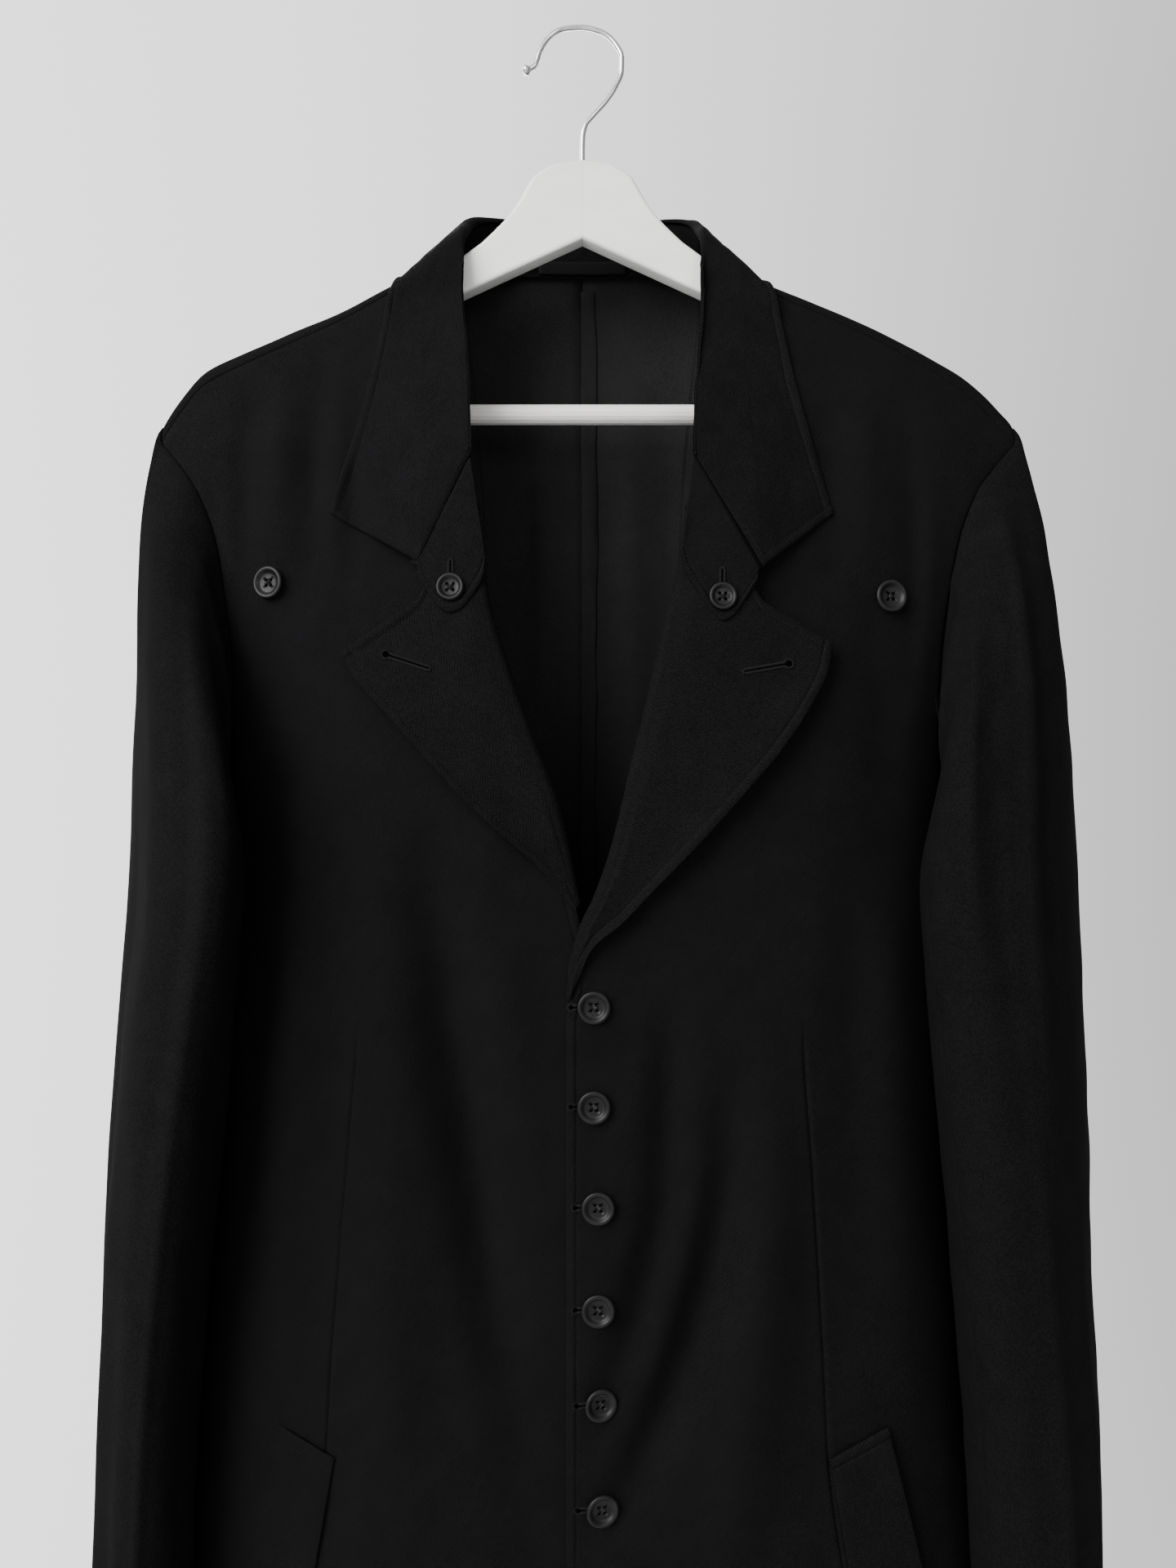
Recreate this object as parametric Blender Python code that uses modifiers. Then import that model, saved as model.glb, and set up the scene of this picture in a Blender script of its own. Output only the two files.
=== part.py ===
"""A long tailored coat with a buttoned-tab collar, hung on a flat wooden hanger.

Metres, +Z up, the front faces -Y, +X is to the right as the front is seen.
The origin is the inside top of the hanger's hook, where the hook rests on a
peg or rail. The hanger lies in the plane Y = 0.
"""
import math

import bmesh
import bpy
import numpy as np
from mathutils import Vector

# Cloth
WALL = 0.0020           # cloth with its turned edges
GAP = 0.0003            # between pieces that touch
LIE = 0.0008            # beneath a piece that lies on another
LAYER = WALL + GAP      # what each further layer adds
HEM_Z = -1.270
CUFF_Z = -0.912
BREAK_Z = {-1: -0.5640, 1: -0.5440}
SIDES = ((-1, "left"), (1, "right"))

# The body's shape over the hanger
RIDGE_HALF = 0.0115     # half the cloth's thickness over the hanger's arm
RIDGE_RISE = 0.0080     # height of that rounded ridge
RIDGE_POWER = 3.0
SLOPE_DROP = 0.340      # drop at which the chest has its full depth
SIDE_POWER = 4.0
TUCK_START, TUCK_END = -0.060, -0.014   # X where the under front sinks beneath the upper
TUCK_CLEAR = 0.0010
NECK_REACH = 0.085      # how far from the middle the neck fills the back
# Shoulder seam below the ridge: distance from the middle, drop
SEAM_DROP = (
    (0.0740, 0.0006),
    (0.0900, 0.0050),
    (0.1100, 0.0072),
    (0.2550, 0.0120),
)

# Shoulder ridge: distance from the middle, height at the left, at the right
RIDGE = (
    (0.0600, -0.1288, -0.1288),
    (0.0736, -0.1340, -0.1340),
    (0.1092, -0.1508, -0.1518),
    (0.1354, -0.1645, -0.1620),
    (0.1686, -0.1785, -0.1763),
    (0.1977, -0.1909, -0.1914),
    (0.2168, -0.2004, -0.2027),
    (0.2306, -0.2159, -0.2138),
    (0.2401, -0.2295, -0.2240),
    (0.2491, -0.2472, -0.2334),
    (0.2584, -0.2719, -0.2492),
)

# Body sections: height, half width, depth of the front, depth of the back
SECTIONS = (
    (-0.100, 0.340, 0.0600, 0.0520),
    (-0.235, 0.310, 0.0600, 0.0520),
    (-0.290, 0.268, 0.0600, 0.0525),
    (-0.340, 0.238, 0.0600, 0.0530),
    (-0.420, 0.216, 0.0600, 0.0545),
    (-0.500, 0.208, 0.0600, 0.0550),
    (-0.620, 0.208, 0.0600, 0.0550),
    (-0.750, 0.218, 0.0620, 0.0590),
    (-0.860, 0.228, 0.0640, 0.0640),
    (-1.050, 0.245, 0.0720, 0.0740),
    (-1.270, 0.268, 0.0840, 0.0880),
)

# Armhole, from the shoulder seam down to the side seam: distance, height
ARMHOLE = (
    (0.2488, -0.2440),
    (0.2365, -0.2570),
    (0.2225, -0.2760),
    (0.2114, -0.3023),
    (0.2050, -0.3350),
    (0.2005, -0.3700),
    (0.1990, -0.4050),
    (0.2010, -0.4370),
)
UNDERARM_Z = -0.462
LEFT_ARMHOLE = 0.972    # the left armhole's distance as a share of the right one's
NECK_TOP_Z = -0.1350     # top of a front's neck edge
NECK_BREAK = 0.090       # where its rows grow closer, above the break of the roll line
NECK_SHARES = (0.0, 0.38, 0.70, 0.88)   # columns across half the back neck

# Roll line, where a front turns back: height, distance at the left, at the right
ROLL = (
    (-0.1280, 0.0672, 0.0640),
    (-0.1480, 0.0680, 0.0664),
    (-0.1690, 0.0675, 0.0669),
    (-0.2000, 0.0640, 0.0636),
    (-0.2300, 0.0618, 0.0613),
    (-0.2600, 0.0592, 0.0602),
    (-0.2900, 0.0565, 0.0572),
    (-0.3200, 0.0533, 0.0528),
    (-0.3500, 0.0486, 0.0462),
    (-0.3850, 0.0375, 0.0388),
    (-0.4140, 0.0271, 0.0316),
    (-0.4480, 0.0146, 0.0231),
    (-0.4780, 0.0060, 0.0155),
    (-0.5030, -0.0002, 0.0065),
    (-0.5180, -0.0040, -0.0012),
    (-0.5440, -0.0140, -0.0083),
    (-0.5640, -0.0233, -0.0083),
)

# Distance of the cloth's cut neckline outside the roll line: height, margin
NECK_MARGIN = (
    (-0.5640, 0.0000),
    (-0.5440, 0.0036),
    (-0.2700, 0.0040),
    (-0.1900, 0.0060),
    (-0.1400, 0.0075),
)

# Lapel edge, from its point down to its end: height, distance
LAPEL_TOP = -0.287
LAPEL_EDGE = {
    -1: (
        (-0.3688, 0.1293),
        (-0.3839, 0.1205),
        (-0.4042, 0.1020),
        (-0.4243, 0.0839),
        (-0.4464, 0.0634),
        (-0.4664, 0.0431),
        (-0.4851, 0.0223),
        (-0.5095, 0.0020),
    ),
    1: (
        (-0.3647, 0.1339),
        (-0.3812, 0.1300),
        (-0.3980, 0.1213),
        (-0.4230, 0.1042),
        (-0.4425, 0.0874),
        (-0.4702, 0.0626),
        (-0.4927, 0.0409),
        (-0.5126, 0.0219),
        (-0.5269, 0.0055),
        (-0.5459, -0.0028),
    ),
}
LAPEL_END = {-1: -0.5060, 1: -0.5400}
LAPEL_BEND = 0.50       # share of the top edge where the notch lies
FOLD_ANGLES = tuple(math.radians(a) for a in (115.0, 80.0, 45.0, 20.0))
LAPEL_NOTCH = {-1: (0.0879, -0.3409), 1: (0.0967, -0.3421)}

# Collar, centre back to front end: roll x, y, z, edge x, y, z, lean of the stand
COLLAR = (
    (0.0000, 0.0505, -0.0885, 0.0000, 0.0640, -0.1400, 0.0),
    (0.0280, 0.0492, -0.0887, 0.0400, 0.0625, -0.1402, 0.0),
    (0.0510, 0.0430, -0.0900, 0.0740, 0.0540, -0.1420, 5.0),
    (0.0640, 0.0260, -0.0975, 0.0970, 0.0330, -0.1470, 15.0),
    (0.0676, 0.0080, -0.1095, 0.1075, 0.0050, -0.1490, 25.0),
    (0.0674, -0.0120, -0.1275, 0.1085, -0.0190, -0.1600, 55.0),
    (0.0674, -0.0155, -0.1560, 0.1135, -0.0310, -0.1790, 80.0),
    (0.0645, -0.0260, -0.1950, 0.1183, -0.0390, -0.2115, 90.0),
    (0.0616, -0.0340, -0.2300, 0.1283, -0.0450, -0.2505, 90.0),
    (0.0602, -0.0390, -0.2620, 0.1390, -0.0500, -0.2905, 90.0),
)
COLLAR_NOTCH = {-1: (0.0874, -0.3205), 1: (0.0967, -0.3235)}
COLLAR_BEND = 0.50      # share of the fall's end where the tab's seam meets its edge
COLLAR_FOLD = 0.0036    # radius of the collar's fold
COLLAR_BULGE = 0.0016
RIDGE_LIFT = 0.0030     # the fall's extra clearance where it crosses the shoulder
RIDGE_SPREAD = 0.020    # how far from the ridge that clearance fades
FOLD_SHARE = 0.22       # share of the fall's width that is its fold
FALL_STATIONS = (0.0, 0.7, 1.4, 2.0, 2.6, 3.1, 3.5, 3.9, 4.2, 4.5,
                 4.8, 5.1, 5.4, 5.8, 6.3, 6.9, 7.6, 8.3, 9.0)
STAND_END = 3.4
FACING_DEEP = 0.0080
FACING_IN = 0.0034       # its outer face inside the back's outer face
FACING_WALL = 0.0010
LABEL_DROP, LABEL_DEEP = 0.0004, 0.0070     # below the neckline, and its own depth
LABEL_WALL = 0.0010

# Back neckline: station on the collar, distance from the middle, height
BACK_NECK = (
    (0.0, 0.0000, -0.1170),
    (1.0, 0.0280, -0.1176),
    (2.0, 0.0520, -0.1208),
    (3.0, 0.0670, -0.1270),
    (4.0, 0.0745, -0.1344),
)

# Collar tab: heights of its two ends on the roll line, distance and height of its tip
TAB_SEAM_Z = -0.2680
TAB_CORNER_Z = -0.3185
TAB_TIP = {-1: (0.0700, -0.3488), 1: (0.0757, -0.3532)}

# Pocket welt corners: distance and height
WELT_TOP_IN = (0.1322, -0.7995)
WELT_TOP_OUT = (0.1635, -0.7845)
WELT_LOW_IN = (0.1600, -0.9600)
WELT_LOW_OUT = (0.2000, -0.9440)

# Sleeves: height, centre x and y, long and short half-axes, turn in degrees
SLEEVE_LEFT = (
    (-0.500, 0.2228, -0.0280, 0.0760, 0.0270, 27.0),
    (-0.600, 0.2307, -0.0240, 0.0730, 0.0310, 22.0),
    (-0.700, 0.2380, -0.0240, 0.0670, 0.0292, 19.0),
    (-0.800, 0.2426, -0.0260, 0.0610, 0.0270, 17.0),
    (-0.912, 0.2440, -0.0300, 0.0570, 0.0268, 15.0),
)
SLEEVE_RIGHT = (
    (-0.500, 0.2350, -0.0280, 0.0720, 0.0395, 27.0),
    (-0.600, 0.2410, -0.0240, 0.0690, 0.0398, 22.0),
    (-0.700, 0.2468, -0.0240, 0.0640, 0.0376, 19.0),
    (-0.800, 0.2520, -0.0260, 0.0590, 0.0367, 17.0),
    (-0.912, 0.2538, -0.0300, 0.0550, 0.0352, 15.0),
)
SLEEVES = {-1: SLEEVE_LEFT, 1: SLEEVE_RIGHT}
HEAD_Z = -0.500         # height where the sleeve head has become a plain tube
SLEEVE_SPACE = 0.0060   # between sleeve and body
UNDERARM_STEP = 0.0024  # sleeve's underarm edge outside the body's
CLEAR_FROM_Z, CLEAR_FULL_Z = -0.380, -0.430    # heights where the body's sides push it out
LOOP_TOP = 0.10         # share of each half of the armhole that crosses the ridge
HEAD_ROWS, TUBE_ROWS = 8, 9
TOP_COLUMNS, UNDER_COLUMNS = 13, 8
FORESEAM, HINDSEAM = 0.36, 0.70     # shares of the sleeve's round, from its top

# Broad folds: panel, face, x and z at the top, x midway, x and z below, width, depth
FOLDS = (
    ("front_left", -0.083, -0.440, -0.060, -0.020, -0.800, 0.018, -0.0050),
    ("front_left", -0.116, -0.480, -0.120, -0.125, -1.250, 0.022, 0.0040),
    ("front_left", -0.165, -0.300, -0.170, -0.172, -0.520, 0.014, -0.0035),
    ("front_left", -0.075, -0.820, -0.085, -0.100, -1.300, 0.024, -0.0075),
    ("front_left", -0.175, -0.780, -0.190, -0.205, -1.300, 0.024, -0.0080),
    ("front_right", 0.046, -0.545, 0.042, 0.000, -0.790, 0.012, -0.0042),
    ("front_right", 0.080, -0.590, 0.064, 0.008, -0.830, 0.014, -0.0040),
    ("front_right", 0.120, -0.420, 0.124, 0.132, -1.250, 0.022, 0.0040),
    ("front_right", 0.160, -0.300, 0.166, 0.165, -0.540, 0.014, -0.0040),
    ("front_right", 0.070, -0.830, 0.078, 0.085, -1.300, 0.024, -0.0075),
    ("front_right", 0.180, -0.800, 0.195, 0.210, -1.300, 0.024, -0.0080),
    ("back_left", -0.062, -0.180, -0.070, -0.075, -0.600, 0.018, -0.0040),
    ("back_left", -0.060, -0.620, -0.075, -0.090, -1.300, 0.026, -0.0080),
    ("back_left", -0.150, -0.560, -0.165, -0.185, -1.300, 0.026, -0.0085),
    ("back_right", 0.030, -0.125, 0.033, 0.040, -0.560, 0.012, -0.0050),
    ("back_right", 0.110, -0.220, 0.112, 0.110, -0.620, 0.020, -0.0040),
    ("back_right", 0.070, -0.640, 0.085, 0.100, -1.300, 0.026, -0.0080),
    ("back_right", 0.155, -0.560, 0.172, 0.195, -1.300, 0.026, -0.0085),
)

# Buttons: name, x, z, diameter, height of the foot above the front's form
BUTTONS = (
    ("button_front_1", 0.0065, -0.5584, 0.0178, 0.0005),
    ("button_front_2", 0.0065, -0.6115, 0.0178, 0.0004),
    ("button_front_3", 0.0087, -0.6650, 0.0178, -0.0003),
    ("button_front_4", 0.0087, -0.7190, 0.0178, -0.0003),
    ("button_front_5", 0.0096, -0.7699, 0.0178, 0.0008),
    ("button_front_6", 0.0104, -0.8248, 0.0178, 0.0005),
    ("button_chest_left", -0.1717, -0.3289, 0.0180, 0.0005),
    ("button_chest_right", 0.1693, -0.3366, 0.0180, 0.0005),
    ("button_tab_left", -0.0697, -0.3354, 0.0150, 0.0062),
    ("button_tab_right", 0.0744, -0.3407, 0.0150, 0.0062),
)
BUTTON_THICK = 0.0034
BUTTON_SIDES = 14
# Half profile of a button, shares of its radius and thickness
BUTTON_PROFILE = (
    (0.00, 0.55),
    (0.60, 0.50),
    (0.74, 0.92),
    (0.88, 1.00),
    (1.00, 0.62),
    (0.90, 0.10),
    (0.00, 0.00),
)

# Hanger
HANGER_THICK = 0.013
HANGER_EDGE = 0.0025    # rounding of its edges
HANGER_CLEAR = 0.0014
HANGER_LOW = 0.2225     # half of its width
APEX_Z = -0.1239
UNDER_SLOPE = 0.46
END_Z = -0.2370
ARM_FOOT = 0.1720        # inner face of the arm's foot, which holds the bar
# Head of the hanger: distance from the middle, height
HEAD = (
    (0.0000, -0.0781),
    (0.0156, -0.0804),
    (0.0226, -0.0838),
    (0.0285, -0.0880),
    (0.0321, -0.0939),
    (0.0368, -0.1022),
    (0.0427, -0.1104),
    (0.0500, -0.1182),
    (0.0580, -0.1258),
)
ARM_STATIONS = (0.0745, 0.0920, 0.1100, 0.1300, 0.1500, 0.1700, 0.1900, 0.2050, 0.2160)
BAR_Z = -0.2243
BAR_RADIUS = 0.0058
BAR_HALF = 0.1717
# Hook, from the ball tip over the top to the shank: x, z
HOOK = (
    (-0.0348, -0.0242),
    (-0.0278, -0.0205),
    (-0.0246, -0.0120),
    (-0.0190, -0.0035),
    (-0.0105, 0.0009),
    (-0.0005, 0.0016),
    (0.0100, -0.0006),
    (0.0185, -0.0070),
    (0.0230, -0.0160),
    (0.0228, -0.0240),
    (0.0195, -0.0325),
    (0.0135, -0.0415),
    (0.0068, -0.0490),
    (0.0020, -0.0550),
    (0.0003, -0.0620),
    (0.0000, -0.0700),
    (0.0000, -0.0776),
)
HOOK_RADIUS = 0.0015

# Material: name, colour, roughness, metallic
MATERIALS = (
    ("cloth", (0.012, 0.012, 0.013), 0.85, 0.0),
    ("button", (0.010, 0.010, 0.011), 0.30, 0.0),
    ("label", (0.018, 0.018, 0.019), 0.70, 0.0),
    ("painted_wood", (0.68, 0.68, 0.66), 0.45, 0.0),
    ("bar_paint", (0.60, 0.59, 0.57), 0.50, 0.0),
    ("chrome", (0.62, 0.62, 0.63), 0.18, 1.0),
)


def curve(rows, key, value, at):
    """A smooth curve through two columns of a table, read at one or more keys."""
    order = sorted(rows, key=lambda row: row[key])
    xs = np.array([row[key] for row in order])
    ys = np.array([row[value] for row in order])
    run = np.diff(xs)
    slope = np.diff(ys) / run
    tangent = np.empty(len(xs))
    tangent[0] = slope[0]
    tangent[-1] = slope[-1]
    same = slope[:-1] * slope[1:] > 0.0
    total = slope[:-1] + slope[1:]
    safe = np.where(same, total, 1.0)
    tangent[1:-1] = np.where(same, 2.0 * slope[:-1] * slope[1:] / safe, 0.0)
    at = np.asarray(at, dtype=float)
    cell = np.clip(np.searchsorted(xs, at) - 1, 0, len(xs) - 2)
    width = run[cell]
    t = np.clip((at - xs[cell]) / width, 0.0, 1.0)
    low = ys[cell] * (1.0 + 2.0 * t) * (1.0 - t) ** 2 + tangent[cell] * width * t * (1.0 - t) ** 2
    high = ys[cell + 1] * t * t * (3.0 - 2.0 * t) - tangent[cell + 1] * width * t * t * (1.0 - t)
    return low + high


def side_column(side, left):
    """The table column for this side, where the left side's column comes first."""
    return left if side < 0 else left + 1


def ridge_z(x):
    """Height of the shoulder ridge at a signed distance from the middle."""
    far = np.abs(x)
    return np.where(x < 0.0, curve(RIDGE, 0, 1, far), curve(RIDGE, 0, 2, far))


def half_width(z):
    """Half the body's width at a height."""
    return curve(SECTIONS, 0, 1, z)


def fold_depth(panel, x, z):
    """How far the broad folds push a panel outward."""
    total = np.zeros(np.broadcast(x, z).shape)
    for name, x_top, z_top, x_mid, x_low, z_low, width, depth in FOLDS:
        if name != panel:
            continue
        share = (z_top - z) / (z_top - z_low)
        inside = np.clip(share, 0.0, 1.0)
        bend = x_mid - 0.5 * (x_top + x_low)
        line = x_top + (x_low - x_top) * inside + 4.0 * bend * inside * (1.0 - inside)
        reach = 0.5 if z_low < HEM_Z else 1.0
        fade = np.sin(math.pi * reach * inside)
        total = total + depth * fade * np.exp(-((x - line) / width) ** 2)
    return total


def half_depth(panel, x, z):
    """Depth of the cloth's outer face from the plane of the hanger."""
    x = np.asarray(x, dtype=float)
    z = np.asarray(z, dtype=float)
    front = panel.startswith("front")
    full = curve(SECTIONS, 0, 2 if front else 3, z)
    drop = np.maximum(ridge_z(x) - z, 0.0)
    rounded = 1.0 - np.minimum(drop / RIDGE_RISE, 1.0)
    ridge = RIDGE_HALF * (1.0 - rounded ** RIDGE_POWER) ** (1.0 / RIDGE_POWER)
    slope = 1.0 - (1.0 - np.minimum(drop / SLOPE_DROP, 1.0)) ** 2
    depth = ridge + (full - RIDGE_HALF) * slope
    if not front:
        neck = np.sqrt(np.maximum(1.0 - (x / NECK_REACH) ** 2, 0.0))
        depth = full * (1.0 - (1.0 - depth / full) * (1.0 - 0.955 * neck))
    share = np.minimum(np.abs(x) / half_width(z), 1.0)
    across = np.sqrt(1.0 - share ** SIDE_POWER)
    depth = (depth + fold_depth(panel, x, z) * slope) * across
    if panel == "front_left":
        tuck = np.clip((x - TUCK_START) / (TUCK_END - TUCK_START), 0.0, 1.0)
        tuck = tuck * tuck * (3.0 - 2.0 * tuck)
        below = half_depth("front_right", x, z) - LAYER - TUCK_CLEAR
        depth = depth + (below - depth) * tuck
    return depth


def skin(panel, x, z):
    """Points on a panel's outer face."""
    face = -1.0 if panel.startswith("front") else 1.0
    depth = half_depth(panel, x, z)
    return np.stack([x, face * depth, z + 0.0 * depth], axis=-1)


def skin_normal(panel, x, z, step=2.0e-4):
    """Outward normals of a panel's outer face."""
    face = -1.0 if panel.startswith("front") else 1.0
    dx = (half_depth(panel, x + step, z) - half_depth(panel, x - step, z)) / (2.0 * step)
    dz = (half_depth(panel, x, z + step) - half_depth(panel, x, z - step)) / (2.0 * step)
    normal = np.stack([-dx, face + 0.0 * dx, -dz], axis=-1)
    return normal / np.linalg.norm(normal, axis=-1, keepdims=True)


# Building

def wall_object(name, outer, inner, material):
    """A closed cloth wall between two grids of points, its rim all round."""
    rows, columns = outer.shape[:2]
    mesh = bmesh.new()
    faces = []
    for grid in (outer, inner):
        faces.append([[mesh.verts.new(Vector(p)) for p in row] for row in grid])
    top, under = faces
    for i in range(rows - 1):
        for j in range(columns - 1):
            mesh.faces.new((top[i][j], top[i][j + 1], top[i + 1][j + 1], top[i + 1][j]))
            mesh.faces.new((under[i][j], under[i + 1][j], under[i + 1][j + 1], under[i][j + 1]))
    for i in range(rows - 1):
        mesh.faces.new((top[i][0], top[i + 1][0], under[i + 1][0], under[i][0]))
        mesh.faces.new((top[i + 1][-1], top[i][-1], under[i][-1], under[i + 1][-1]))
    for j in range(columns - 1):
        mesh.faces.new((top[0][j + 1], top[0][j], under[0][j], under[0][j + 1]))
        mesh.faces.new((top[-1][j], top[-1][j + 1], under[-1][j + 1], under[-1][j]))
    bmesh.ops.recalc_face_normals(mesh, faces=mesh.faces)
    data = bpy.data.meshes.new(name)
    mesh.to_mesh(data)
    mesh.free()
    piece = bpy.data.objects.new(name, data)
    return finish(piece, material)


def finish(piece, material):
    """Put an object in the coat's collection, shaded smooth, with its material."""
    if piece.name not in COAT.objects:
        COAT.objects.link(piece)
    piece.data.materials.append(bpy.data.materials[material].copy())
    piece.data.materials[0].name = piece.name
    if piece.type == "MESH":
        piece.data.shade_smooth()
        piece.data.set_sharp_from_angle(angle=math.radians(40.0))
    return piece


def make_materials():
    """One Principled material for each finish."""
    for name, colour, roughness, metallic in MATERIALS:
        material = bpy.data.materials.new(name)
        material.use_nodes = True
        shader = material.node_tree.nodes["Principled BSDF"]
        shader.inputs["Base Color"].default_value = (*colour, 1.0)
        shader.inputs["Roughness"].default_value = roughness
        shader.inputs["Metallic"].default_value = metallic
        material.diffuse_color = (*colour, 1.0)


# Body panels

def roll_x(side, z):
    """Signed X of the roll line, and of the front edge below it."""
    return side * curve(ROLL, 0, side_column(side, 1), z)


def front_inner(side, z):
    """Signed X of the front panel's inner cut edge."""
    return roll_x(side, z) + side * curve(NECK_MARGIN, 0, 1, z)


def armhole_line(side, share):
    """Distance and height along the armhole, from the shoulder to the side seam."""
    side_x = float(half_width(UNDERARM_Z))
    rows = [(i, x * (LEFT_ARMHOLE if side < 0 else 1.0), z) for i, (x, z) in enumerate(ARMHOLE)]
    rows.append((len(ARMHOLE), side_x, UNDERARM_Z))
    at = np.asarray(share) * len(ARMHOLE)
    return curve(rows, 0, 1, at), curve(rows, 0, 2, at)


def seam_drop(x):
    """How far the shoulder seam lies below the ridge."""
    return curve(SEAM_DROP, 0, 1, np.abs(x))


def side_heights(count):
    """Heights down the side seam, closer together near the underarm."""
    share = np.linspace(0.0, 1.0, count + 1)[1:]
    return UNDERARM_Z + (HEM_Z - UNDERARM_Z) * share


def spread(columns, power=1.5):
    """Shares from the middle to the side, closer together at the side."""
    return 1.0 - (1.0 - np.linspace(0.0, 1.0, columns)) ** power


def outer_boundary(side, arm_rows, body_rows):
    """Distance and height down the armhole and on down the side seam."""
    arm_x, arm_z = armhole_line(side, np.linspace(0.0, 1.0, arm_rows))
    low_z = side_heights(body_rows)
    x = np.concatenate([arm_x, half_width(low_z)])
    return x, np.concatenate([arm_z, low_z])


def front_panel(side, label, arm_rows=11, body_rows=12, columns=11):
    """One front, from its shoulder seam to the hem."""
    panel = "front_" + label
    out_x, out_z = outer_boundary(side, arm_rows, body_rows)
    break_z = BREAK_Z[side]
    top_part = np.linspace(0.0, 1.0, arm_rows) ** 1.1
    in_z = np.concatenate([
        NECK_TOP_Z + (break_z + NECK_BREAK - NECK_TOP_Z) * top_part,
        np.interp(np.arange(1, body_rows + 1), (0, 2, body_rows),
                  (break_z + NECK_BREAK, break_z - 0.012, HEM_Z)),
    ])
    in_x = np.abs(front_inner(side, in_z)) * np.sign(side * front_inner(side, in_z))
    share = spread(columns)[None, :]
    x = in_x[:, None] + (out_x - in_x)[:, None] * share
    z = in_z[:, None] + (out_z - in_z)[:, None] * share
    seam = ridge_z(side * x[0]) - seam_drop(x[0])
    fade = np.clip(1.0 - np.arange(len(in_z)) / 9.0, 0.0, 1.0) ** 2
    z = z + fade[:, None] * (seam - z[0])[None, :]
    z[0] -= 0.5 * GAP
    return panel, side * x, z


def body_wall(panel, x, z, seam_columns):
    """Outer and inner points of a body panel, its seams kept flush."""
    outer = skin(panel, x, z)
    inner = outer - WALL * skin_normal(panel, x, z)
    for column, axis in seam_columns:
        inner[:, column, axis] = outer[:, column, axis]
    return outer, inner


def build_front(side, label):
    """A front panel, its side seam flush with the back's."""
    panel, x, z = front_panel(side, label)
    outer, inner = body_wall(panel, x, z, ())
    low = z[:, -1] < UNDERARM_Z + 0.001
    for grid in (outer, inner):
        grid[low, -1, 1] = -0.5 * GAP
    return wall_object(panel, outer, inner, "cloth")


def back_panel(side, label, arm_rows=11, body_rows=12, columns=11):
    """One back half: rows of signed X, height and face, over the ridge at the top."""
    panel = "back_" + label
    out_x, out_z = outer_boundary(side, arm_rows, body_rows)
    top_z = BACK_NECK[0][2]
    in_z = np.interp(np.arange(arm_rows + body_rows), (0, arm_rows - 1, arm_rows + body_rows - 1),
                     (top_z, -0.470, HEM_Z))
    neck_x = BACK_NECK[-1][1]
    neck_part = neck_x * np.array(NECK_SHARES)
    top_x = np.concatenate([neck_part, neck_x + (out_x[0] - neck_x) * spread(columns)])
    share = top_x / out_x[0]
    x = out_x[:, None] * share[None, :]
    z = in_z[:, None] + (out_z - in_z)[:, None] * share[None, :]
    neck = curve(BACK_NECK, 1, 2, x[0])
    over = x[0] >= BACK_NECK[-1][1] - 1.0e-6
    top = np.where(over, ridge_z(side * x[0]), neck)
    fade = np.clip(1.0 - np.arange(len(in_z)) / 9.0, 0.0, 1.0) ** 2
    shift = (top - z[0]) * np.where(np.arange(len(in_z))[:, None] > 0, 1.0 - share ** 6, 1.0)
    z = z + fade[:, None] * shift
    return panel, side * x, z, over


def build_back(side, label):
    """A back half. Its top rows wrap over the ridge to the shoulder seam."""
    panel, x, z, over = back_panel(side, label)
    wrap = ((-1, 1.0), (-1, 0.30), (-1, 0.04), (1, 0.04), (1, 0.35))
    rows_x, rows_y, rows_z, rows_n = [], [], [], []
    front = "front_" + label
    neck_x = x[0]
    for index, (face, part) in enumerate(wrap):
        drop = np.where(over, seam_drop(neck_x) * part, 0.0)
        if index == 0:
            drop = drop - np.where(over, 0.5 * GAP, 0.0)
        row_z = z[0] - drop - np.where(over, 0.0, 0.0004 * index)
        use = front if face < 0 else panel
        points = skin(use, neck_x, row_z)
        normals = skin_normal(use, neck_x, row_z)
        back_points = skin(panel, neck_x, row_z)
        back_normals = skin_normal(panel, neck_x, row_z)
        points = np.where(over[:, None], points, back_points)
        normals = np.where(over[:, None], normals, back_normals)
        rows_x.append(points[:, 0])
        rows_y.append(points[:, 1])
        rows_z.append(points[:, 2])
        rows_n.append(normals)
    body = skin(panel, x[1:], z[1:])
    body_n = skin_normal(panel, x[1:], z[1:])
    top = np.stack([np.array(rows_x), np.array(rows_y), np.array(rows_z)], axis=-1)
    outer = np.concatenate([top, body])
    inner = outer - WALL * np.concatenate([np.array(rows_n), body_n])
    for grid in (outer, inner):
        grid[:, 0, 0] = side * 0.5 * GAP
        low = grid[:, -1, 2] < UNDERARM_Z + 0.001
        grid[low, -1, 1] = 0.5 * GAP
    return wall_object(panel, outer, inner, "cloth")


def surface_wall(name, surface, us, vs, material, thick=WALL):
    """A cloth wall on a surface given as a function of two arrays of parameters."""
    u, v = np.meshgrid(us, vs, indexing="ij")
    outer = surface(u, v)
    inner = outer - thick * surface_normal(surface, u, v)
    return wall_object(name, outer, inner, material)


def surface_normal(surface, u, v, step=1.0e-3):
    """Normals of a parametric surface."""
    along = surface(u + step, v) - surface(u - step, v)
    across = surface(u, v + step) - surface(u, v - step)
    normal = np.cross(along, across)
    return normal / np.maximum(np.linalg.norm(normal, axis=-1, keepdims=True), 1.0e-12)


# Sleeves

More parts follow.
